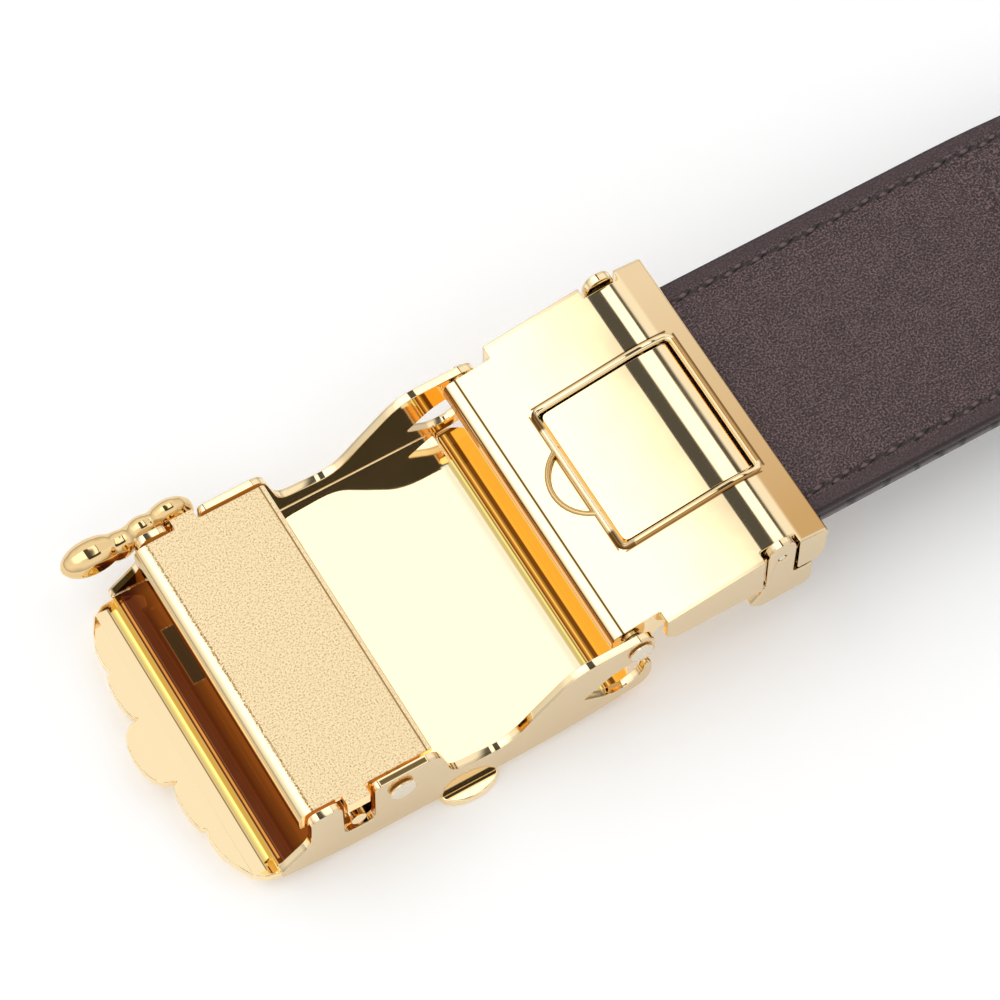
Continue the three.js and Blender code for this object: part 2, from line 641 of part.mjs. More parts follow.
function clampFlap() {
  const pinZ = coverTop(FLAP_PIN.x) - FLAP_PIN.drop;
  const barrelRadius = FLAP_PIN.drop - FLAP_SINK;
  const half = WINDOW.halfWidth - FLAP_CLEARANCE;
  const sheet = slab(coverSheet(WINDOW.left - 1, FLAP_PIN.x, FLAP_SINK, FLAP_THICKNESS), -15, 15);
  const plate = sheet.intersect(pad(windowPlan(-FLAP_CLEARANCE), 5, 25, 3));
  const barrel = rod(FLAP_PIN.x, pinZ, barrelRadius, -half, half, 20);
  const bore = rod(FLAP_PIN.x, pinZ, FLAP_PIN.radius + SEAM, -20, 20, 12);
  return plate.add(barrel).subtract(bore);
}

function flapPin() {
  const pinZ = coverTop(FLAP_PIN.x) - FLAP_PIN.drop;
  return rod(FLAP_PIN.x, pinZ, FLAP_PIN.radius, -FLAP_PIN.halfLength, FLAP_PIN.halfLength, 12);
}

function clampBase() {
  const under = BASE_TOP - BASE_THICKNESS;
  const plate = block(BASE_LEFT_X, BASE_RIGHT_X, -BASE_HALF_WIDTH, BASE_HALF_WIDTH, under, BASE_TOP);
  const wingHalf = CHEEK_OUTER_Y - 0.2;
  const wing = block(FOOT.left, BASE_RIGHT_X, -wingHalf, wingHalf, FOOT.top - 0.9, FOOT.top);
  const footShape = roundedShape([
    [FOOT.left - FOOT.lip, FOOT.bottom + 1.6, 0.5],
    [FOOT.left - 0.4, FOOT.bottom, 0.6],
    [FOOT.right - 0.6, FOOT.bottom + 0.2, 0.6],
    [FOOT.right, FOOT.bottom + 1.2, 0.6],
    [FOOT.right, FOOT.top],
    [KNUCKLE.x + KNUCKLE.radius - 0.2, FOOT.top, 0.3],
    [KNUCKLE.x + KNUCKLE.radius, KNUCKLE.z + KNUCKLE.radius, KNUCKLE.radius * 1.3],
    [KNUCKLE.x - KNUCKLE.radius, KNUCKLE.z + KNUCKLE.radius, KNUCKLE.radius * 1.3],
    [FOOT.left + 0.15, FOOT.top, 0.4],
    [FOOT.left - 0.2, FOOT.bottom + 3.6, 0.4],
  ]);
  const footOuterY = CHEEK_OUTER_Y - 0.05;
  const feet = bothSides((side) => sideSlab(footShape, footOuterY - SHEET, footOuterY, side, 5));
  return joinAll([plate, wing, feet]).subtract(
    rod(KNUCKLE.x, KNUCKLE.pinZ, KNUCKLE.pinRadius + 0.15, -25, 25, 12),
  );
}

function clampPin() {
  return rod(KNUCKLE.x, KNUCKLE.pinZ, KNUCKLE.pinRadius, -CHEEK_OUTER_Y + 0.1, CHEEK_OUTER_Y - 0.1, 12);
}

// Drop of the strap below its level stretch, easing down to the table.
function droop(x) {
  const share = THREE.MathUtils.clamp(
    (x - STRAP_DROOP_START_X) / (STRAP_DROOP_END_X - STRAP_DROOP_START_X),
    0,
    1,
  );
  const fall = STRAP_TOP - LINING_THICKNESS - LAYER_GAP - FACE_THICKNESS;
  return fall * share * share * (3 - 2 * share);
}

function strapPlan() {
  const half = STRAP_WIDTH / 2;
  const shape = new THREE.Shape();
  const tip = STRAP_TIP_X;
  const shoulder = STRAP_TIP_X - STRAP_TIP_LENGTH;
  shape.moveTo(STRAP_START_X, -half);
  shape.lineTo(shoulder, -half);
  shape.bezierCurveTo(tip - 3, -half + 1.5, tip, -half * 0.45, tip, 0);
  shape.bezierCurveTo(tip, half * 0.45, tip - 3, half - 1.5, shoulder, half);
  shape.lineTo(STRAP_START_X, half);
  shape.closePath();
  return shape;
}

// One leather layer between two depths below the strap's upper face.
function strapLayer(fromDepth, toDepth) {
  const over = [];
  const under = [];
  const add = (x) => {
    over.push([x, STRAP_TOP - droop(x) - fromDepth]);
    under.push([x, STRAP_TOP - droop(x) - toDepth]);
  };
  add(STRAP_START_X - 1);
  for (let i = 0; i <= STRAP_STEPS; i += 1) {
    add(STRAP_DROOP_START_X + ((STRAP_DROOP_END_X - STRAP_DROOP_START_X) * i) / STRAP_STEPS);
  }
  add(STRAP_TIP_X + 1);
  const profile = shapeOf([...under, ...over.reverse()]);
  return slab(profile, -STRAP_WIDTH, STRAP_WIDTH).intersect(pad(strapPlan(), -5, 30, 8));
}

const liningEnd = LINING_THICKNESS;
const faceStart = LINING_THICKNESS + LAYER_GAP;

const buckleFrame = new THREE.Group();
buckleFrame.add(
  piece('face_plate', facePlate(), FINISH.polished),
  piece('frame_channel', frameChannel(), FINISH.polished),
  piece('keeper_bar', keeperBar(), FINISH.blasted),
  piece('pawl_axle', pawlAxle(), FINISH.rivet),
  piece('hinge_rivet_near', hingeRivet(-1), FINISH.rivet),
  piece('hinge_rivet_far', hingeRivet(1), FINISH.rivet),
);

const release = new THREE.Group();
release.add(
  piece('pawl', pawl(), FINISH.polished),
  piece('release_lever', releaseLever(), FINISH.polished),
);

const strapClamp = new THREE.Group();
strapClamp.add(
  piece('clamp_cover', clampCover(), FINISH.polished),
  piece('clamp_flap', clampFlap(), FINISH.polished),
  piece('flap_pin', flapPin(), FINISH.rivet),
  piece('clamp_base', clampBase(), FINISH.polished),
  piece('clamp_pin', clampPin(), FINISH.rivet),
  piece('strap_lining', strapLayer(0, liningEnd), FINISH.lining),
  piece('strap_face', strapLayer(faceStart, faceStart + FACE_THICKNESS), FINISH.crocodile),
);

const belt = new THREE.Group();
belt.add(buckleFrame, release, strapClamp);

export default belt;
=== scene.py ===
"""The buckle end of a leather belt, face down: polished ratchet buckle, strap clamp and stitched strap."""

import logging
import math
from dataclasses import dataclass
from enum import Enum
from functools import partial
from typing import Callable, Iterable, Optional, Union

import bmesh
import bpy
from bmesh.types import BMesh
from bpy.types import Material, Node, NodeSocket, NodeTree, Object
from mathutils import Matrix, Vector


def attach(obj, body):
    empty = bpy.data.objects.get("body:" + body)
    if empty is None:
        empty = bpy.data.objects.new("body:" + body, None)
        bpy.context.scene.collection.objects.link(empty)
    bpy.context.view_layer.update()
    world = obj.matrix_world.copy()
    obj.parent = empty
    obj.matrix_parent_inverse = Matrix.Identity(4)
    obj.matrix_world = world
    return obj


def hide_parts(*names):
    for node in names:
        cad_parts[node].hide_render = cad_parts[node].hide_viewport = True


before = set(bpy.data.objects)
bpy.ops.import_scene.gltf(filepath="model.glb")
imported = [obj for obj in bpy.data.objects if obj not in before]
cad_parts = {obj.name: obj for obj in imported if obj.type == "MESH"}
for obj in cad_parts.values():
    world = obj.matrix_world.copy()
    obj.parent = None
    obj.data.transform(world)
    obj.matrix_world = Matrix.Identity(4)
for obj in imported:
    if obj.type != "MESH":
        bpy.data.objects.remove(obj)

logging.basicConfig(level=logging.INFO, format="%(name)s: %(message)s")
LOG = logging.getLogger("belt")

MM = 0.001
TOUCH_MM = 0.001  # nearer than this, two points are one
UNLIT = "#000000"
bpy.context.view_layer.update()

SocketValue = Union[NodeSocket, float, tuple, Vector]
Inputs = dict[Union[str, int], SocketValue]
Span = tuple[float, float]
Corner = tuple[Optional[float], Optional[float], Optional[float]]


class Body(Enum):
    """The groups that move together."""

    CLAMP = "strap_clamp"
    FRAME = "buckle_frame"
    RELEASE = "pawl_release"
    FLAP = "flap"


class Slot(Enum):
    """The record's material slots."""

    POLISHED = "polished_gold"
    BLASTED = "blasted_gold"
    RIVET = "rivet_gold"
    LINING = "lining_leather"
    CROCODILE = "crocodile_leather"


def linear(hex_colour: str) -> tuple[float, float, float, float]:
    """Turns an sRGB hex colour into a linear one.

    Args:
        hex_colour: Six hex digits after a hash.

    Returns:
        Linear red, green, blue and an alpha of one.
    """
    channels = []
    for start in (1, 3, 5):
        value = int(hex_colour[start : start + 2], 16) / 255
        channels.append(value / 12.92 if value <= 0.04045 else ((value + 0.055) / 1.055) ** 2.4)
    return (channels[0], channels[1], channels[2], 1.0)


def connect(tree: NodeTree, node: Node, inputs: Inputs) -> None:
    """Sets a node's values and links.

    Args:
        tree: The node tree.
        node: The node.
        inputs: Values or source sockets by input name or number.
    """
    for key, value in inputs.items():
        if isinstance(value, NodeSocket):
            tree.links.new(value, node.inputs[key])
        else:
            node.inputs[key].default_value = value


def add_node(
    tree: NodeTree,
    kind: str,
    inputs: Optional[Inputs] = None,
    out: Union[int, str] = 0,
    **settings: object,
) -> NodeSocket:
    """Adds a node with its settings, values and links.

    Args:
        tree: The node tree that takes it.
        kind: The node's type name.
        inputs: Values or source sockets by input name or number.
        out: Number or name of the output that is wanted.
        **settings: Attributes of the node itself.

    Returns:
        That output of the new node.
    """
    node = tree.nodes.new(kind)
    for key, value in settings.items():
        setattr(node, key, value)
    connect(tree, node, inputs or {})
    return node.outputs[out]


def overlay(
    tree: NodeTree, base: SocketValue, layers: Iterable[tuple[SocketValue, SocketValue]]
) -> SocketValue:
    """Lays colours over a base, each through its own mask.

    Args:
        tree: The node tree.
        base: The lowest colour.
        layers: Masks with their colours, from the lowest to the highest.

    Returns:
        The colour of the whole stack.
    """
    for mask, colour in layers:
        base = add_node(tree, "ShaderNodeMix", {"Factor": mask, 6: base, 7: colour}, 2, data_type="RGBA")
    return base


def set_ramp(
    colour: NodeSocket, stops: Iterable[tuple[float, tuple]], smooth: bool = True
) -> None:
    """Fills a colour ramp.

    Args:
        colour: The ramp node's output.
        stops: Positions and linear colours, from left to right.
        smooth: Whether the colours ease into each other.
    """
    ramp = colour.node.color_ramp
    ramp.interpolation = "EASE" if smooth else "LINEAR"
    listed = list(stops)
    while len(ramp.elements) < len(listed):
        ramp.elements.new(0.5)
    for element, (position, tone) in zip(ramp.elements, listed):
        element.position = position
        element.color = tone


def grey(value: float) -> tuple[float, float, float, float]:
    """Returns a linear grey of one value."""
    return (value, value, value, 1.0)


def cut(shape: BMesh, axis: int, at_mm: float) -> None:
    """Cuts all the faces of a shape along a plane square to an axis.

    Args:
        shape: The shape.
        axis: Number of the axis: 0 for X, 1 for Y.
        at_mm: Where the plane crosses the axis.
    """
    place = [0.0, 0.0, 0.0]
    place[axis] = at_mm * MM
    square = [0.0, 0.0, 0.0]
    square[axis] = 1.0
    bmesh.ops.bisect_plane(
        shape,
        geom=shape.verts[:] + shape.edges[:] + shape.faces[:],
        dist=TOUCH_MM * MM,
        plane_co=place,
        plane_no=square,
    )


@dataclass(frozen=True)
class Zone:
    """A box of a metal piece, in millimetres: a soft-edged mask, with a tone painted over the plating for the
    reflections and shade there, and a painted glow.
    """

    low: Corner
    high: Corner
    colour: str
    fade_mm: float = 0.1
    glow: str = UNLIT
    fade_y_mm: Optional[float] = None

    def mask(self, tree: NodeTree, place: NodeSocket) -> NodeSocket:
        """Adds the nodes that are one inside the box and zero outside it.

        Args:
            tree: The material's node tree.
            place: The object coordinates.

        Returns:
            The mask.
        """
        add = partial(add_node, tree)
        split = add("ShaderNodeSeparateXYZ", {"Vector": place}).node.outputs
        inside: SocketValue = 1.0
        for axis, low, high in zip("XYZ", self.low, self.high):
            fade = self.fade_y_mm if axis == "Y" and self.fade_y_mm is not None else self.fade_mm
            for limit, first, last in ((low, 0.0, 1.0), (high, 1.0, 0.0)):
                if limit is None:
                    continue
                side = add(
                    "ShaderNodeMapRange",
                    {
                        "Value": split[axis],
                        "From Min": (limit - fade) * MM,
                        "From Max": (limit + fade) * MM,
                        "To Min": first,
                        "To Max": last,
                    },
                )
                inside = add("ShaderNodeMath", {0: inside, 1: side}, operation="MULTIPLY")
        return inside


def strips(
    rows: Iterable[tuple[float, float, float, str, float, str]],
    floor_mm: Optional[float] = None,
    roof_mm: Optional[float] = None,
) -> tuple[Zone, ...]:
    """Makes zones that run across the belt side by side.

    Args:
        rows: For each zone its start and end along the belt, half its width across, painted tone, fade and
            painted glow.
        floor_mm: Their lower limit, if they have one.
        roof_mm: Their upper limit, if they have one.

    Returns:
        The zones.
    """
    return tuple(
        Zone((start, -half, floor_mm), (end, half, roof_mm), colour, fade, glow)
        for start, end, half, colour, fade, glow in rows
    )


def shaded_sides(from_y_mm: float) -> tuple[Zone, Zone]:
    """Makes the zones that paint shade on a piece's two long sides.

    Args:
        from_y_mm: Distance from the belt's middle past which a side is painted darker.

    Returns:
        The near and the far side.
    """
    # The long sides are painted darker, as painted shade: they reflect the shadowed floor beside the piece.
    return (
        Zone((None, None, None), (None, -from_y_mm, None), "#E2CCA6", 0.06),
        Zone((None, from_y_mm, None), (None, None, None), "#E2CCA6", 0.06),
    )


class Finish:
    """A surface finish that makes its material once."""

    made: dict[str, Material] = {}
    title: str = "plain"

    def material(self) -> Material:
        """Returns the finish's material, made on first use."""
        if self.title not in Finish.made:
            material = bpy.data.materials.new(self.title)
            material.use_nodes = True
            tree = material.node_tree
            tree.nodes.clear()
            surface = add_node(tree, "ShaderNodeBsdfPrincipled")
            connect(tree, tree.nodes.new("ShaderNodeOutputMaterial"), {"Surface": surface})
            self.fill(tree, surface.node)
            Finish.made[self.title] = material
        return Finish.made[self.title]

    def fill(self, tree: NodeTree, shader: Node) -> None:
        """Adds the finish's own nodes.

        Args:
            tree: The material's node tree.
            shader: Its principled shader.
        """
        raise NotImplementedError


@dataclass(frozen=True)
class PolishedGold(Finish):
    """Pale gold plating over a buffed zinc casting: a mirror with a faint roll and finger haze."""

    title: str = "gold_plate_buffed"
    colour: str = "#FEE6B8"
    gloss: float = 0.03
    haze: float = 0.07
    haze_mm: float = 6.0
    roll_mm: float = 9.0
    roll_height_mm: float = 0.012
    zones: tuple[Zone, ...] = ()

    def fill(self, tree: NodeTree, shader: Node) -> None:
        """Adds the plating's colour, its zones of painted reflection, shade and glow, haze and roll.

        Args:
            tree: The material's node tree.
            shader: Its principled shader.
        """
        add = partial(add_node, tree)
        place = add("ShaderNodeTexCoord", out="Object")
        masks = [zone.mask(tree, place) for zone in self.zones]
        tones = [linear(zone.colour) for zone in self.zones]
        glows = [linear(zone.glow) for zone in self.zones]
        if self.zones:
            glow = overlay(tree, grey(0.0), zip(masks, glows))
            connect(tree, shader, {"Emission Color": glow, "Emission Strength": 1.0})
        haze = add(
            "ShaderNodeTexNoise",
            {"Vector": place, "Scale": 1 / (self.haze_mm * MM), "Detail": 3.0, "Roughness": 0.6},
        )
        gloss = add(
            "ShaderNodeMapRange",
            {
                "Value": haze,
                "From Min": 0.35,
                "From Max": 0.75,
                "To Min": self.gloss,
                "To Max": self.haze,
            },
        )
        roll = add(
            "ShaderNodeTexNoise",
            {"Vector": place, "Scale": 1 / (self.roll_mm * MM), "Detail": 1.0, "Roughness": 0.4},
        )
        bump = add(
            "ShaderNodeBump", {"Height": roll, "Distance": self.roll_height_mm * MM, "Strength": 1.0}
        )
        surface = {
            "Base Color": overlay(tree, linear(self.colour), zip(masks, tones)),
            "Metallic": 1.0,
            "Roughness": gloss,
            "Normal": bump,
        }
        connect(tree, shader, surface)


@dataclass(frozen=True)
class BlastedGold(Finish):
    """Gold plating over a grit-blasted face with a buffed lip: sparkling fine pits that stop at the lip."""

    title: str = "gold_plate_grit_blasted"
    colour: str = "#FFE6B6"
    pit_colour: str = "#CCA066"
    peak_colour: str = "#FFF0CC"
    scribe_colour: str = "#9A7038"
    lip_colour: str = "#FEE6B8"
    lip_side_shade_colour: str = "#D8BE8E"
    trapped_colour: str = "#8A5418"
    lip_x_mm: float = -17.35
    turned_x_mm: float = -18.3
    turned_z_mm: float = 12.6
    right_x_mm: float = -1.75
    end_y_mm: float = -19.5
    face_z_mm: float = 12.9
    scribe_mm: Span = (0.42, 0.24)
    border_mm: float = 0.55
    border_half_mm: float = 0.13
    ragged_mm: float = 0.3
    grit_mm: float = 0.2
    grit_height_mm: float = 0.05

    def fill(self, tree: NodeTree, shader: Node) -> None:
        """Adds the blasted field, its speckled border and the buffed lip.

        Args:
            tree: The material's node tree.
            shader: Its principled shader.
        """
        add = partial(add_node, tree)
        place = add("ShaderNodeTexCoord", out="Object")
        split = add("ShaderNodeSeparateXYZ", {"Vector": place}).node.outputs
        grit = add(
            "ShaderNodeTexNoise",
            {"Vector": place, "Scale": 1 / (self.grit_mm * MM), "Detail": 2.0, "Roughness": 0.6},
        )
        spread = add(
            "ShaderNodeTexNoise",
            {"Vector": place, "Scale": 1 / (self.ragged_mm * MM), "Detail": 1.0, "Roughness": 0.5},
        )
        ragged = add(
            "ShaderNodeMath",
            {0: spread, 1: self.ragged_mm * MM, 2: split["X"]},
            operation="MULTIPLY_ADD",
        )
        # The grit reaches from the ragged border beside the lip to the right edge, on the upper face alone.
        blasted: SocketValue = 1.0
        for value, outside_mm, inside_mm in (
            (ragged, self.lip_x_mm + 0.1, self.lip_x_mm + 0.4),
            (split["X"], self.right_x_mm + 0.08, self.right_x_mm),
            (split["Z"], self.face_z_mm - 0.1, self.face_z_mm + 0.05),
        ):
            reached = add(
                "ShaderNodeMapRange",
                {"Value": value, "From Min": outside_mm * MM, "From Max": inside_mm * MM},
            )
            blasted = add("ShaderNodeMath", {0: blasted, 1: reached}, operation="MULTIPLY")
        # The pits are painted darker and the peaks lighter: painted shade and painted glints at the grit's
        # scale.
        pits = add("ShaderNodeValToRGB", {"Fac": grit})
        set_ramp(
            pits,
            [
                (0.32, linear(self.pit_colour)),
                (0.5, linear(self.colour)),
                (0.66, linear(self.peak_colour)),
            ],
            smooth=False,
        )
        from_mm, to_mm = (self.right_x_mm - inset for inset in self.scribe_mm)
        scribed = Zone((from_mm, None, self.face_z_mm), (to_mm, None, None), "", 0.04)
        in_border = add(
            "ShaderNodeMath",
            {0: ragged, 1: (self.lip_x_mm + self.border_mm) * MM, 2: self.border_half_mm * MM},
            operation="COMPARE",
        )
        broken = add("ShaderNodeMapRange", {"Value": grit, "From Min": 0.62, "From Max": 0.42})
        crushed = add("ShaderNodeMath", {0: in_border, 1: broken}, operation="MULTIPLY")
        scribe = linear(self.scribe_colour)
        field = overlay(tree, pits, ((scribed.mask(tree, place), scribe), (crushed, scribe)))
        # The lip's turned-down side, below the face, is painted a darker tan as painted shade.
        turned = Zone((None, None, None), (self.turned_x_mm, None, self.turned_z_mm), "", 0.05)
        colour = overlay(
            tree,
            linear(self.lip_colour),
            ((turned.mask(tree, place), linear(self.lip_side_shade_colour)), (blasted, field)),
        )
        rough = add("ShaderNodeMapRange", {"Value": blasted, "To Min": 0.06, "To Max": 0.33})
        height = add("ShaderNodeMath", {0: grit, 1: blasted}, operation="MULTIPLY")
        bump = add(
            "ShaderNodeBump", {"Height": height, "Distance": self.grit_height_mm * MM, "Strength": 0.9}
        )
        # The near end stands close to the cheek, and the light trapped between them is amber.
        near_end = Zone((None, None, 10.5), (None, self.end_y_mm, self.face_z_mm - 0.05), "", 0.03)
        surface = {
            "Base Color": colour,
            "Metallic": 1.0,
            "Roughness": rough,
            "Emission Color": linear(self.trapped_colour),
            "Emission Strength": near_end.mask(tree, place),
            "Normal": bump,
        }
        connect(tree, shader, surface)


@dataclass(frozen=True)
class RivetMetal(Finish):
    """Pale plated rivet steel, mottled by the setting punch: greyer than the casting, with a soft sheen."""

    title: str = "rivet_steel_plated"
    colour: str = "#E6DCC8"
    trapped_colour: str = "#6E4A1C"
    mottle_mm: float = 0.35
    rim_y_mm: float = -21.24
    cheek_y_mm: float = -20.9

    def fill(self, tree: NodeTree, shader: Node) -> None:
        """Adds the pale metal and its soft mottling.

        Args:
            tree: The material's node tree.
            shader: Its principled shader.
        """
        add = partial(add_node, tree)
        place = add("ShaderNodeTexCoord", out="Object")
        # The near head's rim stands in the gold light of the cheek that it is riveted to.
        rim = Zone((None, self.rim_y_mm, None), (None, self.cheek_y_mm, None), "", 0.05)
        mottle = add(
            "ShaderNodeTexNoise",
            {"Vector": place, "Scale": 1 / (self.mottle_mm * MM), "Detail": 2.0, "Roughness": 0.5},
        )
        rough = add("ShaderNodeMapRange", {"Value": mottle, "To Min": 0.14, "To Max": 0.34})
        bump = add("ShaderNodeBump", {"Height": mottle, "Distance": 0.01 * MM, "Strength": 0.6})
        surface = {
            "Base Color": linear(self.colour),
            "Metallic": 1.0,
            "Roughness": rough,
            "Emission Color": linear(self.trapped_colour),
            "Emission Strength": rim.mask(tree, place),
            "Normal": bump,
        }
        connect(tree, shader, surface)


@dataclass(frozen=True)
class LiningLeather(Finish):
    """Dyed cowhide lining: a fine pebbled grain with pinpoint gloss, pressed flat past the seams."""

    title: str = "cowhide_lining_dyed"
    crease: str = "#24181A"
    middle: str = "#453233"
    crown: str = "#6F5859"
    margin: str = "#3E2E30"
    edge: str = "#2C1F20"
    groove_shade: str = "#2A1D1E"
    grain_mm: float = 0.25
    grain_height_mm: float = 0.11
    blotch_mm: float = 1.7
    blotch_share: float = 0.12
    stitch_y_mm: float = 14.9
    edge_y_mm: float = 17.2

    def fill(self, tree: NodeTree, shader: Node) -> None:
        """Adds the grain, the smooth margins, painted shade along the stitch grooves, and the painted edge.

        Args:
            tree: The material's node tree.
            shader: Its principled shader.
        """
        add = partial(add_node, tree)
        place = add("ShaderNodeTexCoord", out="Object")
        pebble = add(
            "ShaderNodeTexNoise",
            {"Vector": place, "Scale": 1 / (self.grain_mm * MM), "Detail": 1.0, "Roughness": 0.5},
        )
        blotch = add(
            "ShaderNodeTexNoise",
            {"Vector": place, "Scale": 1 / (self.blotch_mm * MM), "Detail": 1.0, "Roughness": 0.5},
        )
        grain = add(
            "ShaderNodeMath", {0: blotch, 1: self.blotch_share, 2: pebble}, operation="MULTIPLY_ADD"
        )
        dye = add("ShaderNodeValToRGB", {"Fac": grain})
        set_ramp(
            dye,
            [(0.4, linear(self.crease)), (0.56, linear(self.middle)), (0.72, linear(self.crown))],
            smooth=False,
        )
        split = add("ShaderNodeSeparateXYZ", {"Vector": place}).node.outputs
        across = add("ShaderNodeMath", {0: split["Y"]}, operation="ABSOLUTE")
        margin = add(
            "ShaderNodeMapRange",
            {
                "Value": across,
                "From Min": (self.stitch_y_mm + 0.2) * MM,
                "From Max": (self.stitch_y_mm + 1.0) * MM,
                "To Max": 0.7,
            },
        )
        painted = add(
            "ShaderNodeMapRange",
            {
                "Value": across,
                "From Min": (self.edge_y_mm - 0.15) * MM,
                "From Max": self.edge_y_mm * MM,
            },
        )
        from_seam = add("ShaderNodeMath", {0: across, 1: self.stitch_y_mm * MM}, operation="SUBTRACT")
        seam_gap = add("ShaderNodeMath", {0: from_seam}, operation="ABSOLUTE")
        # Painted shade along the stitch grooves, darkest at the thread.
        groove_shaded = add(
            "ShaderNodeMapRange",
            {
                "Value": seam_gap,
                "From Min": 0.12 * MM,
                "From Max": 0.42 * MM,
                "To Min": 0.85,
                "To Max": 0.0,
            },
        )
        colour = overlay(
            tree,
            dye,
            ((margin, linear(self.margin)), (groove_shaded, linear(self.groove_shade)), (painted, linear(self.edge))),
        )
        pressed = add("ShaderNodeMapRange", {"Value": margin, "To Min": 1.0, "To Max": 0.2})
        height = add("ShaderNodeMath", {0: grain, 1: pressed}, operation="MULTIPLY")
        rough = add(
            "ShaderNodeMapRange",
            {"Value": grain, "From Min": 0.36, "From Max": 0.76, "To Min": 0.65, "To Max": 0.38},
        )
        bump = add(
            "ShaderNodeBump", {"Height": height, "Distance": self.grain_height_mm * MM, "Strength": 1.0}
        )
        surface = {"Base Color": colour, "Roughness": rough, "Specular IOR Level": 0.4, "Normal": bump}
        connect(tree, shader, surface)


@dataclass(frozen=True)
class CrocodileLeather(Finish):
    """Embossed and glazed hide: square belly scales, small round flank scales and dark creases."""

    title: str = "crocodile_hide_glazed"
    dark: str = "#120B0A"
    light: str = "#3A2622"
    belly_mm: Span = (12.0, 8.5)
    belly_edge_mm: Span = (10.0, 11.0)
    flank_mm: float = 4.2
    crease_mm: float = 0.9
    warp_mm: float = 11.0
    warp_reach_mm: Span = (5.0, 3.0)
    pore_mm: float = 0.8
    relief_mm: float = 0.45

    def fill(self, tree: NodeTree, shader: Node) -> None:
        """Adds the belly and flank scales with their creases.

        Args:
            tree: The material's node tree.
            shader: Its principled shader.
        """
        add = partial(add_node, tree)
        place = add("ShaderNodeTexCoord", out="Object")
        warp = add(
            "ShaderNodeTexNoise",
            {"Vector": place, "Scale": 1 / (self.warp_mm * MM), "Detail": 1.0, "Roughness": 0.5},
            out="Color",
        )
        reach = (self.warp_reach_mm[0] * MM, self.warp_reach_mm[1] * MM, 0.0)
        bent = add("ShaderNodeVectorMath", {0: warp, 1: reach, 2: place}, operation="MULTIPLY_ADD")
        belly = add(
            "ShaderNodeTexBrick",
            {
                "Vector": bent,
                "Scale": 1.0,
                "Mortar Size": self.crease_mm * MM,
                "Mortar Smooth": 1.0,
                "Brick Width": self.belly_mm[0] * MM,
                "Row Height": self.belly_mm[1] * MM,
            },
            out="Fac",
            offset=0.5,
        )
        flank = add(
            "ShaderNodeTexVoronoi",
            {"Vector": bent, "Scale": 1 / (self.flank_mm * MM), "Randomness": 0.75},
            feature="DISTANCE_TO_EDGE",
        )
        round_scale = add(
            "ShaderNodeMapRange",
            {"Value": flank, "From Min": 0.0, "From Max": 0.16},
            interpolation_type="SMOOTHSTEP",
        )
        square_scale = add("ShaderNodeMapRange", {"Value": belly, "To Min": 1.0, "To Max": 0.0})
        split = add("ShaderNodeSeparateXYZ", {"Vector": bent}).node.outputs
        across = add("ShaderNodeMath", {0: split["Y"]}, operation="ABSOLUTE")
        side = add(
            "ShaderNodeMapRange",
            {
                "Value": across,
                "From Min": self.belly_edge_mm[0] * MM,
                "From Max": self.belly_edge_mm[1] * MM,
            },
        )
        scale = add(
            "ShaderNodeMix", {"Factor": side, 2: square_scale, 3: round_scale}, data_type="FLOAT"
        )
        pores = add(
            "ShaderNodeTexNoise",
            {"Vector": place, "Scale": 1 / (self.pore_mm * MM), "Detail": 3.0, "Roughness": 0.6},
        )
        tone = add("ShaderNodeMath", {0: scale, 1: pores}, operation="MULTIPLY")
        colour = add("ShaderNodeValToRGB", {"Fac": tone})
        set_ramp(colour, [(0.1, linear(self.dark)), (0.7, linear(self.light))])
        height = add("ShaderNodeMath", {0: pores, 1: 0.08, 2: scale}, operation="MULTIPLY_ADD")
        bump = add(
            "ShaderNodeBump", {"Height": height, "Distance": self.relief_mm * MM, "Strength": 1.0}
        )
        rough = add("ShaderNodeMapRange", {"Value": scale, "To Min": 0.6, "To Max": 0.3})
        surface = {
            "Base Color": colour,
            "Roughness": rough,
            "Coat Weight": 0.35,
            "Coat Roughness": 0.18,
            "Normal": bump,
        }
        connect(tree, shader, surface)


@dataclass(frozen=True)
class WaxedThread(Finish):
    """Waxed polyester thread: a dark two-ply twist, banded with painted highlights on the plies and painted
    shade between them.
    """

    title: str = "polyester_thread_waxed"
    dark: str = "#1E1415"
    light: str = "#644F51"
    ply_mm: float = 0.5

    def fill(self, tree: NodeTree, shader: Node) -> None:
        """Adds the twist's bands: painted highlights on the plies and painted shade between them.

        Args:
            tree: The material's node tree.
            shader: Its principled shader.
        """
        add = partial(add_node, tree)
        place = add("ShaderNodeTexCoord", out="Object")
        twist = add(
            "ShaderNodeTexWave",
            {"Vector": place, "Scale": 1 / (2 * math.pi * self.ply_mm * MM), "Distortion": 1.0},
            out="Fac",
            wave_type="BANDS",
            bands_direction="DIAGONAL",
        )
        # The light bands are painted highlights on the plies' crowns and the dark bands painted shade between
        # them.
        colour = add("ShaderNodeValToRGB", {"Fac": twist})
        set_ramp(colour, [(0.2, linear(self.dark)), (0.9, linear(self.light))])
        bump = add("ShaderNodeBump", {"Height": twist, "Distance": 0.05 * MM, "Strength": 0.8})
        surface = {"Base Color": colour, "Roughness": 0.4, "Normal": bump}
        connect(tree, shader, surface)


@dataclass(frozen=True)
class StudioPaper(Finish):
    """Opal sheet of a light table: matt white, and faintly lit from below so that shadows on it stay pale."""

    title: str = "light_table_opal"
    colour: str = "#F2F2F2"
    glow: float = 0.15

    def fill(self, tree: NodeTree, shader: Node) -> None:
        """Adds the sheet's colour and glow.

        Args:
            tree: The material's node tree.
            shader: Its principled shader.
        """
        surface = {
            "Base Color": linear(self.colour),
            "Roughness": 0.9,
            "Specular IOR Level": 0.1,
            "Emission Color": grey(1.0),
            "Emission Strength": self.glow,
        }
        connect(tree, shader, surface)


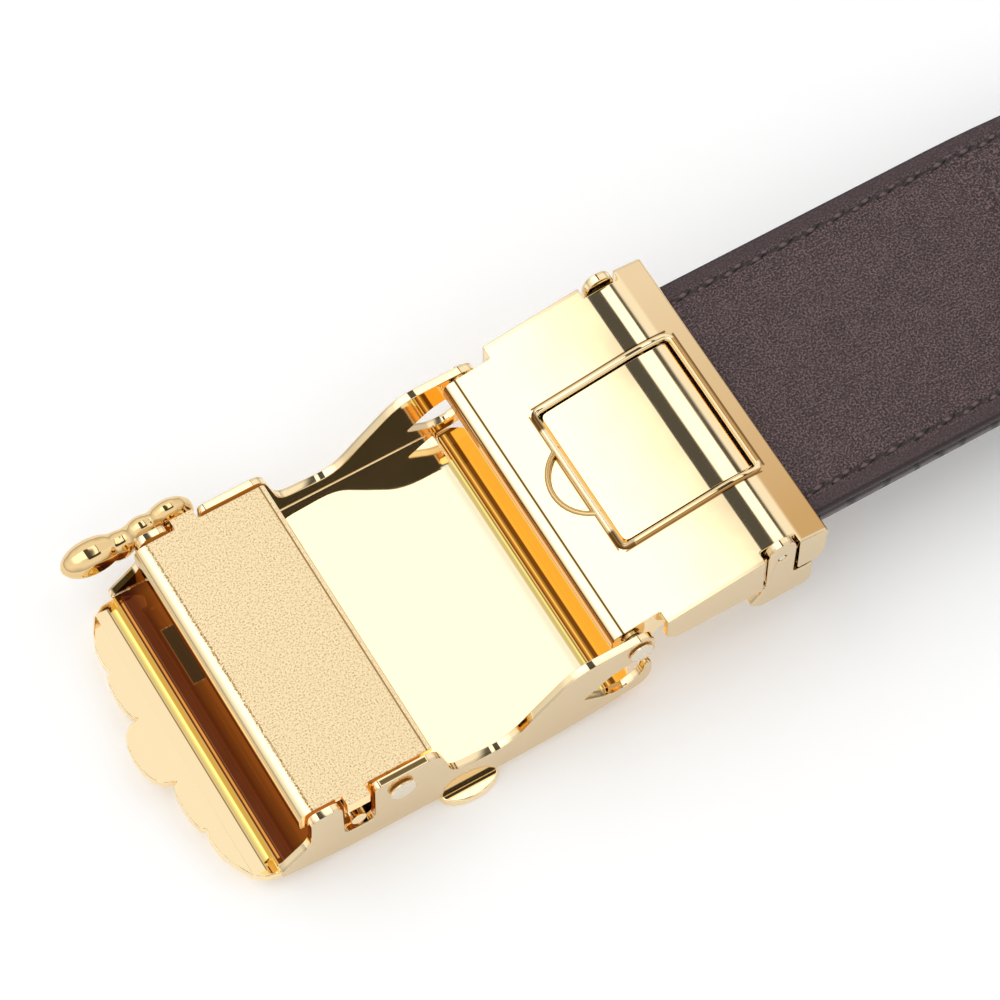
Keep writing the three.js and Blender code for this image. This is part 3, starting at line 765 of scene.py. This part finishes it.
class Bench:
    """Makes pieces and puts them in the scene."""

    def place(
        self,
        name: str,
        mesh_source: BMesh,
        finish: Finish,
        body: Body,
        slot: Slot,
        sharp_deg: float = 35.0,
    ) -> Object:
        """Turns a bmesh into a dressed piece that rides on a body.

        Args:
            name: The piece's name.
            mesh_source: The modelled shape, which is freed.
            finish: Its surface.
            body: What it moves with.
            slot: The record's slot; not used.
            sharp_deg: Edges that turn more than this stay sharp.

        Returns:
            The new object.
        """
        mesh = bpy.data.meshes.new(name)
        mesh_source.to_mesh(mesh)
        mesh_source.free()
        mesh.polygons.foreach_set("use_smooth", [True] * len(mesh.polygons))
        mesh.set_sharp_from_angle(angle=math.radians(sharp_deg))
        mesh.materials.clear()
        mesh.materials.append(finish.material())
        piece = bpy.data.objects.new(name, mesh)
        bpy.context.scene.collection.objects.link(piece)
        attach(piece, body.value)
        LOG.info("%s: %d faces on %s", name, len(mesh.polygons), body.value)
        return piece

    def solid_copy(self, node: str) -> BMesh:
        """Copies a node's solid with its loose triangles merged and its flat faces joined.

        Args:
            node: The node's name.

        Returns:
            The merged copy.
        """
        copy = bmesh.new()
        copy.from_mesh(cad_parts[node].data)
        bmesh.ops.remove_doubles(copy, verts=copy.verts, dist=2 * TOUCH_MM * MM)
        bmesh.ops.dissolve_limit(
            copy, angle_limit=math.radians(0.4), verts=copy.verts, edges=copy.edges, delimit=set()
        )
        return copy

    def soften(self, shape: BMesh, width_mm: float, turn_deg: float = 40.0) -> None:
        """Rounds the hard edges of a shape.

        Args:
            shape: The shape.
            width_mm: How far the rounding reaches in from the edge.
            turn_deg: Edges that turn more than this are rounded.
        """
        hard = [
            edge
            for edge in shape.edges
            if edge.is_manifold and abs(edge.calc_face_angle(0.0)) > math.radians(turn_deg)
        ]
        bmesh.ops.bevel(
            shape,
            geom=hard,
            offset=width_mm * MM,
            offset_type="OFFSET",
            affect="EDGES",
            segments=2,
            profile=0.5,
            material=-1,
            clamp_overlap=False,
            miter_outer="ARC",
        )
        bmesh.ops.remove_doubles(shape, verts=shape.verts, dist=TOUCH_MM * MM)

    def dress(
        self,
        node: str,
        finish: Finish,
        body: Body,
        slot: Slot,
        width_mm: float = 0.12,
        after: Optional[Callable[[BMesh], None]] = None,
    ) -> Object:
        """Stands a softened copy of a node's solid in its place.

        Args:
            node: The node's name.
            finish: Its surface.
            body: What it moves with.
            slot: The record's slot.
            width_mm: Width of the rounding on its hard edges.
            after: Further shaping of the copy.

        Returns:
            The new object.
        """
        shape = self.solid_copy(node)
        self.soften(shape, width_mm)
        if after is not None:
            after(shape)
        piece = self.place(node + "_finished", shape, finish, body, slot)
        weighted = piece.modifiers.new("even_flats", "WEIGHTED_NORMAL")
        weighted.keep_sharp = True
        weighted.mode = "FACE_AREA_WITH_ANGLE"
        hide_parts(node)
        return piece


@dataclass
class BuckleFrame:
    """The rigid buckle: face plate, channel, keeper bar, axle and hinge rivets."""

    plate_edge_mm: float = 0.25
    channel_edge_mm: float = 0.12
    bar_edge_mm: float = 0.12
    rivet_edge_mm: float = 0.22
    lobe_start_mm: float = 21.0
    lobe_half_mm: float = 9.0
    lobe_floor_mm: float = 0.9
    lobe_slope: float = 0.12
    lobe_curve: float = 0.08
    lobe_drop_mm: float = 0.5
    lobe_lead_mm: float = 0.1
    lobe_cuts_mm: tuple[float, ...] = (0.3, 0.9, 1.4)

    def build(self, bench: Bench) -> None:
        """Builds and dresses the buckle.

        Args:
            bench: Where the pieces are made.
        """
        # Light that has bounced many times between facing polished walls comes out amber, then
        # red-brown. The boxes paint it in the two narrow gaps as painted reflections, painted shade and
        # painted glow; at the plate's left edge a painted tan glow and a dark line stand in for its
        # reflections.
        plate_gold = PolishedGold(
            title="gold_plate_buffed_plate",
            zones=strips(
                (
                    (21.3, 27.5, 19.7, "#3A2008", 0.08, "#5C3008"),
                    (21.8, 22.04, 19.4, "#3A2008", 0.05, "#F8D080"),
                    (22.24, 22.44, 19.4, "#3A2008", 0.06, "#B8701C"),
                    (22.44, 22.66, 19.4, "#3A2008", 0.06, "#FFC85E"),
                    (22.66, 22.84, 19.4, "#3A2008", 0.06, "#A87828"),
                    (23.38, 27.5, 19.2, "#4A2C0A", 0.05, "#FAAE34"),
                    (25.0, 27.5, 19.0, "#4A2C0A", 0.06, "#FFD07A"),
                    (-24.75, -23.0, 19.2, "#202020", 0.04, "#FBE3B5"),
                    (-23.2, -23.04, 19.2, "#3A2A10", 0.03, "#8A7440"),
                )
            ),
        )
        left_gap = strips(
            (
                (-22.95, -22.2, 19.7, "#F2D67C", 0.06, UNLIT),
                (-22.34, -21.75, 19.7, "#3A2A10", 0.05, "#D8A84C"),
                (-21.75, -21.0, 19.7, "#5A2808", 0.05, "#2A1204"),
                (-21.5, -21.25, 19.0, "#C98A44", 0.05, "#3A1C08"),
                (-21.05, -12.0, 19.7, "#44200C", 0.08, "#3E1A0C"),
                (-18.7, -12.0, 19.7, "#4F260F", 1.3, "#A2581A"),
            ),
            2.0,
            4.3,
        )
        # The channel's boxes are painted light too: a grey wall whose reflection in the plate reads tan,
        # painted reflections and glow in the slot, a dark rectangle with a lighter rim painted on the slot
        # floor, painted shade on the far end, the near cheek's top and the long sides, and painted glow in
        # the right-hand gap and on the far cheek's inner face.
        channel_gold = PolishedGold(
            title="gold_plate_buffed_channel",
            zones=(
                Zone((-24.0, -19.7, None), (-22.9, 19.7, 3.3), "#BDBDBD", 0.05),
                *left_gap,
                Zone((-19.25, 5.0, 2.0), (-17.4, 13.2, 4.3), "#A08858", 0.04, "#6A4A28"),
                Zone((-19.15, 5.15, 2.0), (-17.5, 13.05, 4.3), "#1C1208", 0.04, "#44301A"),
                Zone((-24.0, 19.5, 4.3), (-18.7, None, None), "#4A3A1C", 0.1),
                Zone((19.75, -19.4, 3.8), (20.74, 15.2, 4.3), "#404038", 0.12, "#FBF6D4"),
                Zone((20.74, -19.4, 3.4), (21.16, 15.2, 4.3), "#4A3A20", 0.05, "#D0BC78"),
                Zone((21.16, -19.6, 2.0), (22.4, 15.6, 3.88), "#4A3A20", 0.04, "#F0E488"),
                *shaded_sides(20.6),
                Zone((-8.7, -20.75, 12.7), (-2.7, -20.1, None), "#5C4C2E", 0.08),
                Zone((-17.0, 19.7, 11.0), (-1.6, 20.0, 13.2), "#6B3A0E", 0.03, "#8A5418"),
                Zone((21.5, -19.6, 2.0), (22.4, 15.6, 3.88), "#4A3A20", 0.04, "#A07A38"),
            ),
        )
        bench.dress("face_plate", plate_gold, Body.FRAME, Slot.POLISHED, self.plate_edge_mm, self.pillow)
        bench.dress("frame_channel", channel_gold, Body.FRAME, Slot.POLISHED, self.channel_edge_mm)
        bench.dress("keeper_bar", BlastedGold(), Body.FRAME, Slot.BLASTED, self.bar_edge_mm)
        axle_metal = RivetMetal(title="rivet_steel_plated_axle", rim_y_mm=-21.44)
        bench.dress("pawl_axle", axle_metal, Body.FRAME, Slot.RIVET, self.rivet_edge_mm)
        for node in ("hinge_rivet_near", "hinge_rivet_far"):
            bench.dress(node, RivetMetal(), Body.FRAME, Slot.RIVET, self.rivet_edge_mm)

    def pillow(self, shape: BMesh) -> None:
        """Lets the top of the lobes on the plate's long sides slope away from the cheeks.

        Args:
            shape: The plate.
        """
        for side in (-1, 1):
            for past_mm in self.lobe_cuts_mm:
                cut(shape, 1, side * (self.lobe_start_mm + past_mm))
        for vert in shape.verts:
            out = abs(vert.co.y / MM) - self.lobe_start_mm
            on_lobe = abs(vert.co.x / MM) < self.lobe_half_mm and vert.co.z / MM > self.lobe_floor_mm
            if out > self.lobe_lead_mm and on_lobe:
                slope = self.lobe_slope * out + self.lobe_curve * out * out
                vert.co.z -= min(self.lobe_drop_mm, slope) * MM


@dataclass
class PawlRelease:
    """The ratchet pawl and the cast lever that lifts it."""

    pawl_edge_mm: float = 0.1
    voxel_mm: float = 0.22
    smoothing: float = 0.5
    smoothing_rounds: int = 8
    plating_mm: float = 0.14

    def build(self, bench: Bench) -> None:
        """Builds and dresses the pawl and its lever.

        Args:
            bench: Where the pieces are made.
        """
        bench.dress("pawl", PolishedGold(), Body.RELEASE, Slot.POLISHED, self.pawl_edge_mm)
        self.lever(bench)

    def lever(self, bench: Bench) -> Object:
        """Makes the lever as one smooth casting.

        Args:
            bench: Where the piece is made.

        Returns:
            The lever.
        """
        # The lever's gold is painted deeper than the other pieces', as painted shade for its rims, which face
        # dark surroundings.
        lever = bench.place(
            "release_lever_cast",
            bench.solid_copy("release_lever"),
            PolishedGold(title="gold_plate_painted_deeper", colour="#EBCB94"),
            Body.RELEASE,
            Slot.POLISHED,
            sharp_deg=180.0,
        )
        skin = lever.modifiers.new("cast_skin", "REMESH")
        skin.mode = "VOXEL"
        skin.voxel_size = self.voxel_mm * MM
        skin.use_smooth_shade = True
        calm = lever.modifiers.new("tumbled", "SMOOTH")
        calm.factor = self.smoothing
        calm.iterations = self.smoothing_rounds
        full = lever.modifiers.new("full_size", "DISPLACE")
        full.mid_level = 0.0
        full.strength = self.plating_mm * MM
        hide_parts("release_lever")
        return lever


@dataclass
class StrapClamp:
    """The clamp that holds the strap: cover, lid, base and pins."""

    cover_edge_mm: float = 0.14
    base_edge_mm: float = 0.16
    flap_edge_mm: float = 0.08
    pin_edge_mm: float = 0.1
    front_x_mm: float = 22.5
    front_top_mm: float = 15.15
    roll_mm: float = 1.4
    rise: float = 0.175
    fall: float = 0.085
    bend_start_mm: float = 42.2
    bend_end_mm: float = 46.6
    window_left_mm: float = 29.7
    window_right_mm: float = 47.5
    window_half_mm: float = 9.9
    flap_lead_mm: float = 0.8
    flap_drop_mm: float = 0.12
    bead_radius_mm: float = 0.5
    bead_reach_mm: float = 0.34
    bead_corner_mm: float = 0.9
    bead_sink: float = 0.3
    bar_step_mm: float = 0.7
    notch_half_mm: float = 4.95
    notch_depth_mm: float = 3.5
    notch_radius_mm: float = 0.36

    def cover_top(self, x_mm: float) -> float:
        """Returns the height in millimetres of the cover's outer face at a distance along the belt.

        Args:
            x_mm: The distance along the belt.

        Returns:
            The height above the table.
        """
        length = self.bend_end_mm - self.bend_start_mm
        start = self.front_x_mm + self.roll_mm
        rise = self.front_top_mm + self.rise * (min(x_mm, self.bend_start_mm) - start)
        bent = min(max(x_mm - self.bend_start_mm, 0.0), length)
        fall = self.fall * max(0.0, x_mm - self.bend_end_mm)
        return rise + self.rise * bent - (self.rise + self.fall) * bent * bent / (2 * length) - fall

    def build(self, bench: Bench) -> None:
        """Builds and dresses the clamp.

        Args:
            bench: Where the pieces are made.
        """
        sides = shaded_sides(20.5)
        # Painted shade and painted reflection: amber and dark lines on the rolled front edge and in the fold
        # behind it, dark lines at the foot of the bead round the window, and a darker tan on the bent end,
        # deeper towards the near side.
        foot = self.bead_reach_mm + self.bead_radius_mm
        left = self.window_left_mm - foot
        right = self.window_right_mm + foot
        half = self.window_half_mm + foot
        cover_gold = PolishedGold(
            title="gold_plate_buffed_cover",
            zones=(
                Zone((None, -19.4, 12.7), (22.66, 19.4, 14.5), "#B8843C", 0.05),
                Zone((22.66, -19.4, 14.3), (22.84, 19.4, 14.85), "#8A5A28", 0.04),
                Zone((23.9, -19.4, 14.6), (24.2, 19.4, None), "#4E3818", 0.08),
                Zone((46.9, None, 14.0), (None, 30.0, None), "#EFD3A6", 0.2),
                Zone((46.9, None, 14.0), (None, 0.0, None), "#CFA46A", 0.2, fade_y_mm=18.0),
                Zone((left - 0.1, -half + 0.6, 15.2), (left + 0.12, half - 0.6, None), "#8A6A3A", 0.06),
                Zone((right - 0.12, -half + 0.6, 15.2), (right + 0.14, half - 0.6, None), "#7A5A34", 0.06),
                Zone((left + 0.6, -half - 0.1, 15.2), (right - 0.6, -half + 0.12, None), "#8A6A3A", 0.06),
                Zone((left + 0.6, half - 0.12, 15.2), (right - 0.6, half + 0.14, None), "#6A4C2A", 0.06),
                *sides,
            ),
        )
        base_gold = PolishedGold(title="gold_plate_buffed_base", zones=sides)
        bench.dress("clamp_cover", cover_gold, Body.CLAMP, Slot.POLISHED, self.cover_edge_mm)
        bench.dress("clamp_base", base_gold, Body.CLAMP, Slot.POLISHED, self.base_edge_mm)
        bench.dress(
            "clamp_flap", PolishedGold(), Body.FLAP, Slot.POLISHED, self.flap_edge_mm, self.early_bend
        )
        for node in ("clamp_pin", "flap_pin"):
            bench.dress(node, RivetMetal(), Body.CLAMP, Slot.RIVET, self.pin_edge_mm)
        self.window_bead(bench)
        self.notch_bead(bench)

    def early_bend(self, shape: BMesh) -> None:
        """Starts the lid's bend a little nearer the buckle than the cover's.

        Args:
            shape: The lid.
        """
        first = self.bend_start_mm - self.flap_lead_mm
        tightness = (self.rise + self.fall) / (self.bend_end_mm - self.bend_start_mm)
        for x_mm in (first, first + self.flap_lead_mm / 2):
            cut(shape, 0, x_mm)
        for vert in shape.verts:
            past = vert.co.x / MM - first
            if past > 0:
                eased = min(past, self.flap_lead_mm)
                drop = tightness * (eased * eased / 2 + eased * max(0.0, past - self.flap_lead_mm))
                vert.co.z -= min(drop, self.flap_drop_mm) * MM

    def bent_bar(
        self,
        bench: Bench,
        name: str,
        path: list[Span],
        radius_mm: float,
        closed: bool,
        finish: Finish,
    ) -> Object:
        """Makes a round bar that lies along a path on the cover's outer face.

        Args:
            bench: Where the piece is made.
            name: The piece's name.
            path: Places along and across the belt, in millimetres.
            radius_mm: The bar's radius.
            closed: Whether the path runs back to its start.
            finish: Its surface.

        Returns:
            The bar.
        """
        spaced: list[Span] = []
        ends = path[1:] + path[:1] if closed else path[1:]
        for (x0, y0), (x1, y1) in zip(path, ends):
            parts = max(1, int(math.hypot(x1 - x0, y1 - y0) / self.bar_step_mm))
            spaced.extend((x0 + (x1 - x0) * i / parts, y0 + (y1 - y0) * i / parts) for i in range(parts))
        if not closed:
            spaced.append(path[-1])
        curve = bpy.data.curves.new(name + "_path", "CURVE")
        curve.dimensions = "3D"
        curve.bevel_depth = radius_mm * MM
        curve.bevel_resolution = 4
        curve.use_fill_caps = not closed
        line = curve.splines.new("POLY")
        line.points.add(len(spaced) - 1)
        line.use_cyclic_u = closed
        for point, (x, y) in zip(line.points, spaced):
            point.co = (x * MM, y * MM, (self.cover_top(x) - radius_mm * self.bead_sink) * MM, 1.0)
        holder = bpy.data.objects.new(name + "_path", curve)
        bpy.context.scene.collection.objects.link(holder)
        bpy.context.view_layer.update()
        mesh = bpy.data.meshes.new_from_object(holder.evaluated_get(bpy.context.evaluated_depsgraph_get()))
        bpy.data.objects.remove(holder)
        shape = bmesh.new()
        shape.from_mesh(mesh)
        bmesh.ops.remove_doubles(shape, verts=shape.verts, dist=TOUCH_MM * MM)
        bmesh.ops.recalc_face_normals(shape, faces=shape.faces)
        return bench.place(name, shape, finish, Body.CLAMP, Slot.POLISHED, 60.0)

    def window_bead(self, bench: Bench) -> Object:
        """Makes the raised bead round the lid's window.

        Args:
            bench: Where the piece is made.

        Returns:
            The bead.
        """
        left = self.window_left_mm - self.bead_reach_mm
        right = self.window_right_mm + self.bead_reach_mm
        half = self.window_half_mm + self.bead_reach_mm
        corner = self.bead_corner_mm
        outline: list[Span] = []
        for quarter, (side_x, side_y) in enumerate(((1, 1), (-1, 1), (-1, -1), (1, -1))):
            centre_x = right - corner if side_x > 0 else left + corner
            centre_y = side_y * (half - corner)
            for step in range(5):
                turn = math.radians(90.0 * quarter + 22.5 * step)
                outline.append((centre_x + corner * math.cos(turn), centre_y + corner * math.sin(turn)))
        # Painted shade: dark corners at the bead's buckle side, and a darker tan along its right side and its
        # near side.
        bead_shade = (
            Zone((left - 0.6, half - 2.6, None), (left + 0.25, half + 0.7, None), "#6A4A26", 0.2),
            Zone((left - 0.6, -half - 0.7, None), (left + 0.25, -half + 2.6, None), "#6A4A26", 0.2),
            Zone((left - 0.1, -half - 0.7, None), (left + 1.6, -half + 0.1, None), "#7A5832", 0.2),
            Zone((right - 0.2, -half + 0.8, None), (right + 0.7, half - 0.8, None), "#C79E64", 0.1),
            Zone((left + 1.6, -half - 0.7, None), (right + 0.7, -half - 0.1, None), "#B98C54", 0.08),
        )
        finish = PolishedGold(title="gold_plate_buffed_bead", zones=bead_shade)
        return self.bent_bar(bench, "window_bead", outline, self.bead_radius_mm, True, finish)

    def notch_bead(self, bench: Bench) -> Object:
        """Makes the raised arch round the finger notch.

        Args:
            bench: Where the piece is made.

        Returns:
            The arch.
        """
        half = self.notch_half_mm
        depth = self.notch_depth_mm
        radius = (half * half + depth * depth) / (2 * depth)
        centre_x = self.window_left_mm - depth + radius
        reach = math.asin(half / radius)
        arch = [
            (centre_x - radius * math.cos(turn), radius * math.sin(turn))
            for turn in (reach * (i / 8 - 1) for i in range(17))
        ]
        # The arch's gold is painted darker than the cover's, as painted shade along it.
        finish = PolishedGold(title="gold_plate_buffed_arch", colour="#CFAE78")
        return self.bent_bar(bench, "notch_bead", arch, self.notch_radius_mm, False, finish)


@dataclass
class Strap:
    """The two leather layers and their stitching."""

    top_mm: float = 16.0
    lining_mm: float = 1.4
    layer_gap_mm: float = 0.1
    face_mm: float = 1.7
    width_mm: float = 35.0
    start_mm: float = 50.9
    droop_start_mm: float = 88.0
    droop_end_mm: float = 168.0
    shoulder_mm: float = 189.0
    tip_mm: float = 200.0
    stitch_y_mm: float = 14.9
    pitch_mm: float = 3.6
    stitch_length_mm: float = 3.3
    stitch_slant_deg: float = 14.0
    first_stitch_mm: float = 1.6
    tip_inset_mm: float = 2.6
    tip_run_mm: float = 1.5
    tip_stitches: int = 8
    thread_mm: float = 0.6
    groove_mm: float = 0.12
    groove_half_mm: float = 0.55
    thread_sink: float = 0.2
    face_thread_mm: float = 0.02
    lining_edge_mm: float = 0.42
    face_edge_mm: float = 0.45
    cut_step_mm: float = 3.0
    uncut_tip_mm: float = 4.0
    skin_mm: float = 0.2
    line_slack_mm: float = 0.05
    tip_fullness: float = 0.8

    def droop(self, x_mm: float) -> float:
        """Returns how far in millimetres the strap has dropped at a distance along the belt.

        Args:
            x_mm: The distance along the belt.

        Returns:
            The drop below its level stretch.
        """
        share = (x_mm - self.droop_start_mm) / (self.droop_end_mm - self.droop_start_mm)
        share = min(max(share, 0.0), 1.0)
        fall = self.top_mm - self.lining_mm - self.layer_gap_mm - self.face_mm
        return fall * share * share * (3 - 2 * share)

    def build(self, bench: Bench) -> None:
        """Builds and dresses the strap.

        Args:
            bench: Where the pieces are made.
        """
        for node, finish, slot, edge_mm, upper in (
            ("strap_lining", LiningLeather(), Slot.LINING, self.lining_edge_mm, True),
            ("strap_face", CrocodileLeather(), Slot.CROCODILE, self.face_edge_mm, False),
        ):
            bench.dress(node, finish, Body.CLAMP, slot, edge_mm, partial(self.work, upper=upper))
        self.stitches(bench, "stitches_lining", self.top_mm - self.groove_mm * self.thread_sink)
        bottom = self.top_mm - self.lining_mm - self.layer_gap_mm - self.face_mm
        self.stitches(bench, "stitches_face", bottom + self.thread_mm / 2 - self.face_thread_mm)

    def work(self, shape: BMesh, upper: bool) -> None:
        """Cuts a layer into short lengths and presses the stitch lines into its outer side.

        Args:
            shape: The layer.
            upper: Whether the outer side is the upper one.
        """
        for side in (-1, 1):
            for offset in (-self.groove_half_mm, 0.0, self.groove_half_mm):
                cut(shape, 1, side * (self.stitch_y_mm + offset))
        x_mm = self.start_mm
        while x_mm < self.tip_mm - self.uncut_tip_mm:
            cut(shape, 0, x_mm)
            x_mm += self.cut_step_mm
        outer = 0.0 if upper else self.lining_mm + self.layer_gap_mm + self.face_mm
        sign = -1.0 if upper else 1.0
        for vert in shape.verts:
            x_mm = vert.co.x / MM
            level = self.top_mm - self.droop(x_mm) - outer
            on_outer = abs(vert.co.z / MM - level) < self.skin_mm
            on_line = abs(abs(vert.co.y / MM) - self.stitch_y_mm) < self.line_slack_mm
            if on_outer and on_line and x_mm > self.start_mm - 1:
                vert.co.z += sign * self.groove_mm * MM

    def stitch_line(self) -> list[tuple[float, float, float]]:
        """Lays out the stitches round the strap's visible length.

        Returns:
            For each stitch its place along and across the belt, and its heading in radians.
        """
        count = int((self.shoulder_mm - self.start_mm) / self.pitch_mm)
        first = self.start_mm + self.first_stitch_mm
        laid = [
            (first + i * self.pitch_mm, side * self.stitch_y_mm, 0.0)
            for side in (-1, 1)
            for i in range(count)
        ]
        start = self.shoulder_mm - self.tip_run_mm
        reach = self.tip_mm - self.tip_inset_mm - self.shoulder_mm + self.tip_run_mm
        for i in range(1, self.tip_stitches + 1):
            turn = math.pi * (i / (self.tip_stitches + 1)) - math.pi / 2
            along = start + reach * math.cos(turn) ** self.tip_fullness
            laid.append((along, self.stitch_y_mm * math.sin(turn), turn + math.pi / 2))
        return laid

    def stitches(self, bench: Bench, name: str, level_mm: float) -> Object:
        """Makes the sewn thread as short slanted lengths pressed into the leather.

        Args:
            bench: Where the piece is made.
            name: The piece's name.
            level_mm: Height of the thread's middle where the strap is level.

        Returns:
            The stitches.
        """
        shape = bmesh.new()
        slant = math.radians(self.stitch_slant_deg)
        thread = self.thread_mm / 2 * MM
        for x_mm, y_mm, heading in self.stitch_line():
            slope = math.atan((self.droop(x_mm - 1) - self.droop(x_mm + 1)) / 2)
            place = (
                Matrix.Translation((x_mm * MM, y_mm * MM, (level_mm - self.droop(x_mm)) * MM))
                @ Matrix.Rotation(-slope, 4, "Y")
                @ Matrix.Rotation(heading + slant, 4, "Z")
                @ Matrix.Diagonal((self.stitch_length_mm / 2 * MM, thread, thread, 1.0))
            )
            bmesh.ops.create_uvsphere(shape, u_segments=8, v_segments=6, radius=1.0, matrix=place)
        bmesh.ops.recalc_face_normals(shape, faces=shape.faces)
        return bench.place(name, shape, WaxedThread(), Body.CLAMP, Slot.LINING, 180.0)


@dataclass
class Studio:
    """The pale floor, the soft light and the camera of the photograph."""

    azimuth_deg: float = 30.45
    elevation_deg: float = 62.4
    distance_mm: float = 548.12
    focal_px: float = 4800.0
    frame_px: float = 1000.0
    aim_mm: tuple[float, float, float] = (19.0, 0.0, 21.4)
    floor_size_m: float = 3.0
    floor_drop_mm: float = 0.02
    tent_light: float = 1.05
    room_light: float = 0.6
    lowest_look: float = 0.12
    beyond_range: Span = (-0.34, -0.26)
    rim_range: Span = (0.62, 0.74)
    roof_range: Span = (0.1, 0.55)
    clip_m: Span = (0.01, 20.0)
    # Brightness of the tent's roof across it, by share of its width: beyond the belt, and on the near side.
    far_roof: tuple[Span, ...] = (
        (0.0, 1.05),
        (0.30, 1.9),
        (0.468, 1.9),
        (0.477, 1.25),
        (0.482, 0.09),
        (0.580, 0.09),
        (0.590, 1.6),
        (0.660, 1.6),
        (0.668, 0.1),
        (0.685, 0.1),
        (0.700, 1.0),
    )
    near_roof: tuple[Span, ...] = ((0.30, 1.1), (0.46, 0.9), (0.50, 0.05), (0.76, 0.05), (0.80, 1.1))

    def build(self) -> None:
        """Builds the floor, the light and the camera."""
        self.floor()
        self.sky()
        self.camera()
        scene = bpy.context.scene
        scene.view_settings.view_transform = "Standard"
        scene.view_settings.look = "None"

    def floor(self) -> None:
        """Lays the pale sheet."""
        shape = bmesh.new()
        bmesh.ops.create_grid(shape, x_segments=2, y_segments=2, size=self.floor_size_m)
        bmesh.ops.translate(shape, verts=shape.verts, vec=(0.0, 0.0, -self.floor_drop_mm * MM))
        mesh = bpy.data.meshes.new("paper")
        shape.to_mesh(mesh)
        shape.free()
        mesh.materials.append(StudioPaper().material())
        paper = bpy.data.objects.new("paper", mesh)
        bpy.context.scene.collection.objects.link(paper)

    def sky(self) -> None:
        """Lights the set with a white tent, dark slots overhead and a dim room low down."""
        world = bpy.data.worlds.new("white_tent")
        bpy.context.scene.world = world
        world.use_nodes = True
        tree = world.node_tree
        tree.nodes.clear()
        add = partial(add_node, tree)
        way = add("ShaderNodeTexCoord", out="Generated")
        split = add("ShaderNodeSeparateXYZ", {"Vector": way}).node.outputs
        height = add("ShaderNodeMath", {0: split["Z"], 1: self.lowest_look}, operation="MAXIMUM")
        across, along = (
            add("ShaderNodeMath", {0: split[axis], 1: height}, operation="DIVIDE") for axis in "XY"
        )
        share = add("ShaderNodeMapRange", {"Value": across, "From Min": -1.0, "From Max": 1.0})
        near, far = (add("ShaderNodeValToRGB", {"Fac": share}) for _ in range(2))
        for roof, lights in ((near, self.near_roof), (far, self.far_roof)):
            set_ramp(roof, [(place, grey(value)) for place, value in lights], smooth=False)
        distance = add("ShaderNodeMath", {0: along}, operation="ABSOLUTE")
        beyond, at_rim, above = (
            add("ShaderNodeMapRange", {"Value": value, "From Min": low, "From Max": high})
            for value, (low, high) in (
                (along, self.beyond_range),
                (distance, self.rim_range),
                (split["Z"], self.roof_range),
            )
        )
        tent = overlay(tree, near, ((beyond, far), (at_rim, grey(self.tent_light))))
        room = overlay(tree, grey(self.room_light), ((above, tent),))
        light = add("ShaderNodeBackground", {"Color": room, "Strength": 1.0})
        connect(tree, tree.nodes.new("ShaderNodeOutputWorld"), {"Surface": light})

    def camera(self) -> None:
        """Sets the camera at the photograph's viewing angle."""
        turn = math.radians(self.azimuth_deg)
        tilt = math.radians(self.elevation_deg)
        forward = Vector(
            (math.sin(turn) * math.cos(tilt), math.cos(turn) * math.cos(tilt), -math.sin(tilt))
        )
        right = Vector((math.cos(turn), -math.sin(turn), 0.0))
        up = right.cross(forward)
        data = bpy.data.cameras.new("photo_camera")
        data.lens = self.focal_px / self.frame_px * data.sensor_width
        data.clip_start, data.clip_end = self.clip_m
        eye = bpy.data.objects.new("photo_camera", data)
        eye.matrix_world = Matrix.Translation(Vector(self.aim_mm) * MM - forward * self.distance_mm * MM) @ (
            Matrix((right, up, -forward)).transposed().to_4x4()
        )
        bpy.context.scene.collection.objects.link(eye)
        bpy.context.scene.camera = eye


def main() -> None:
    """Builds the set and the belt."""
    bench = Bench()
    Studio().build()
    BuckleFrame().build(bench)
    PawlRelease().build(bench)
    StrapClamp().build(bench)
    Strap().build(bench)
    bpy.context.view_layer.update()


if __name__ == "__main__":
    main()
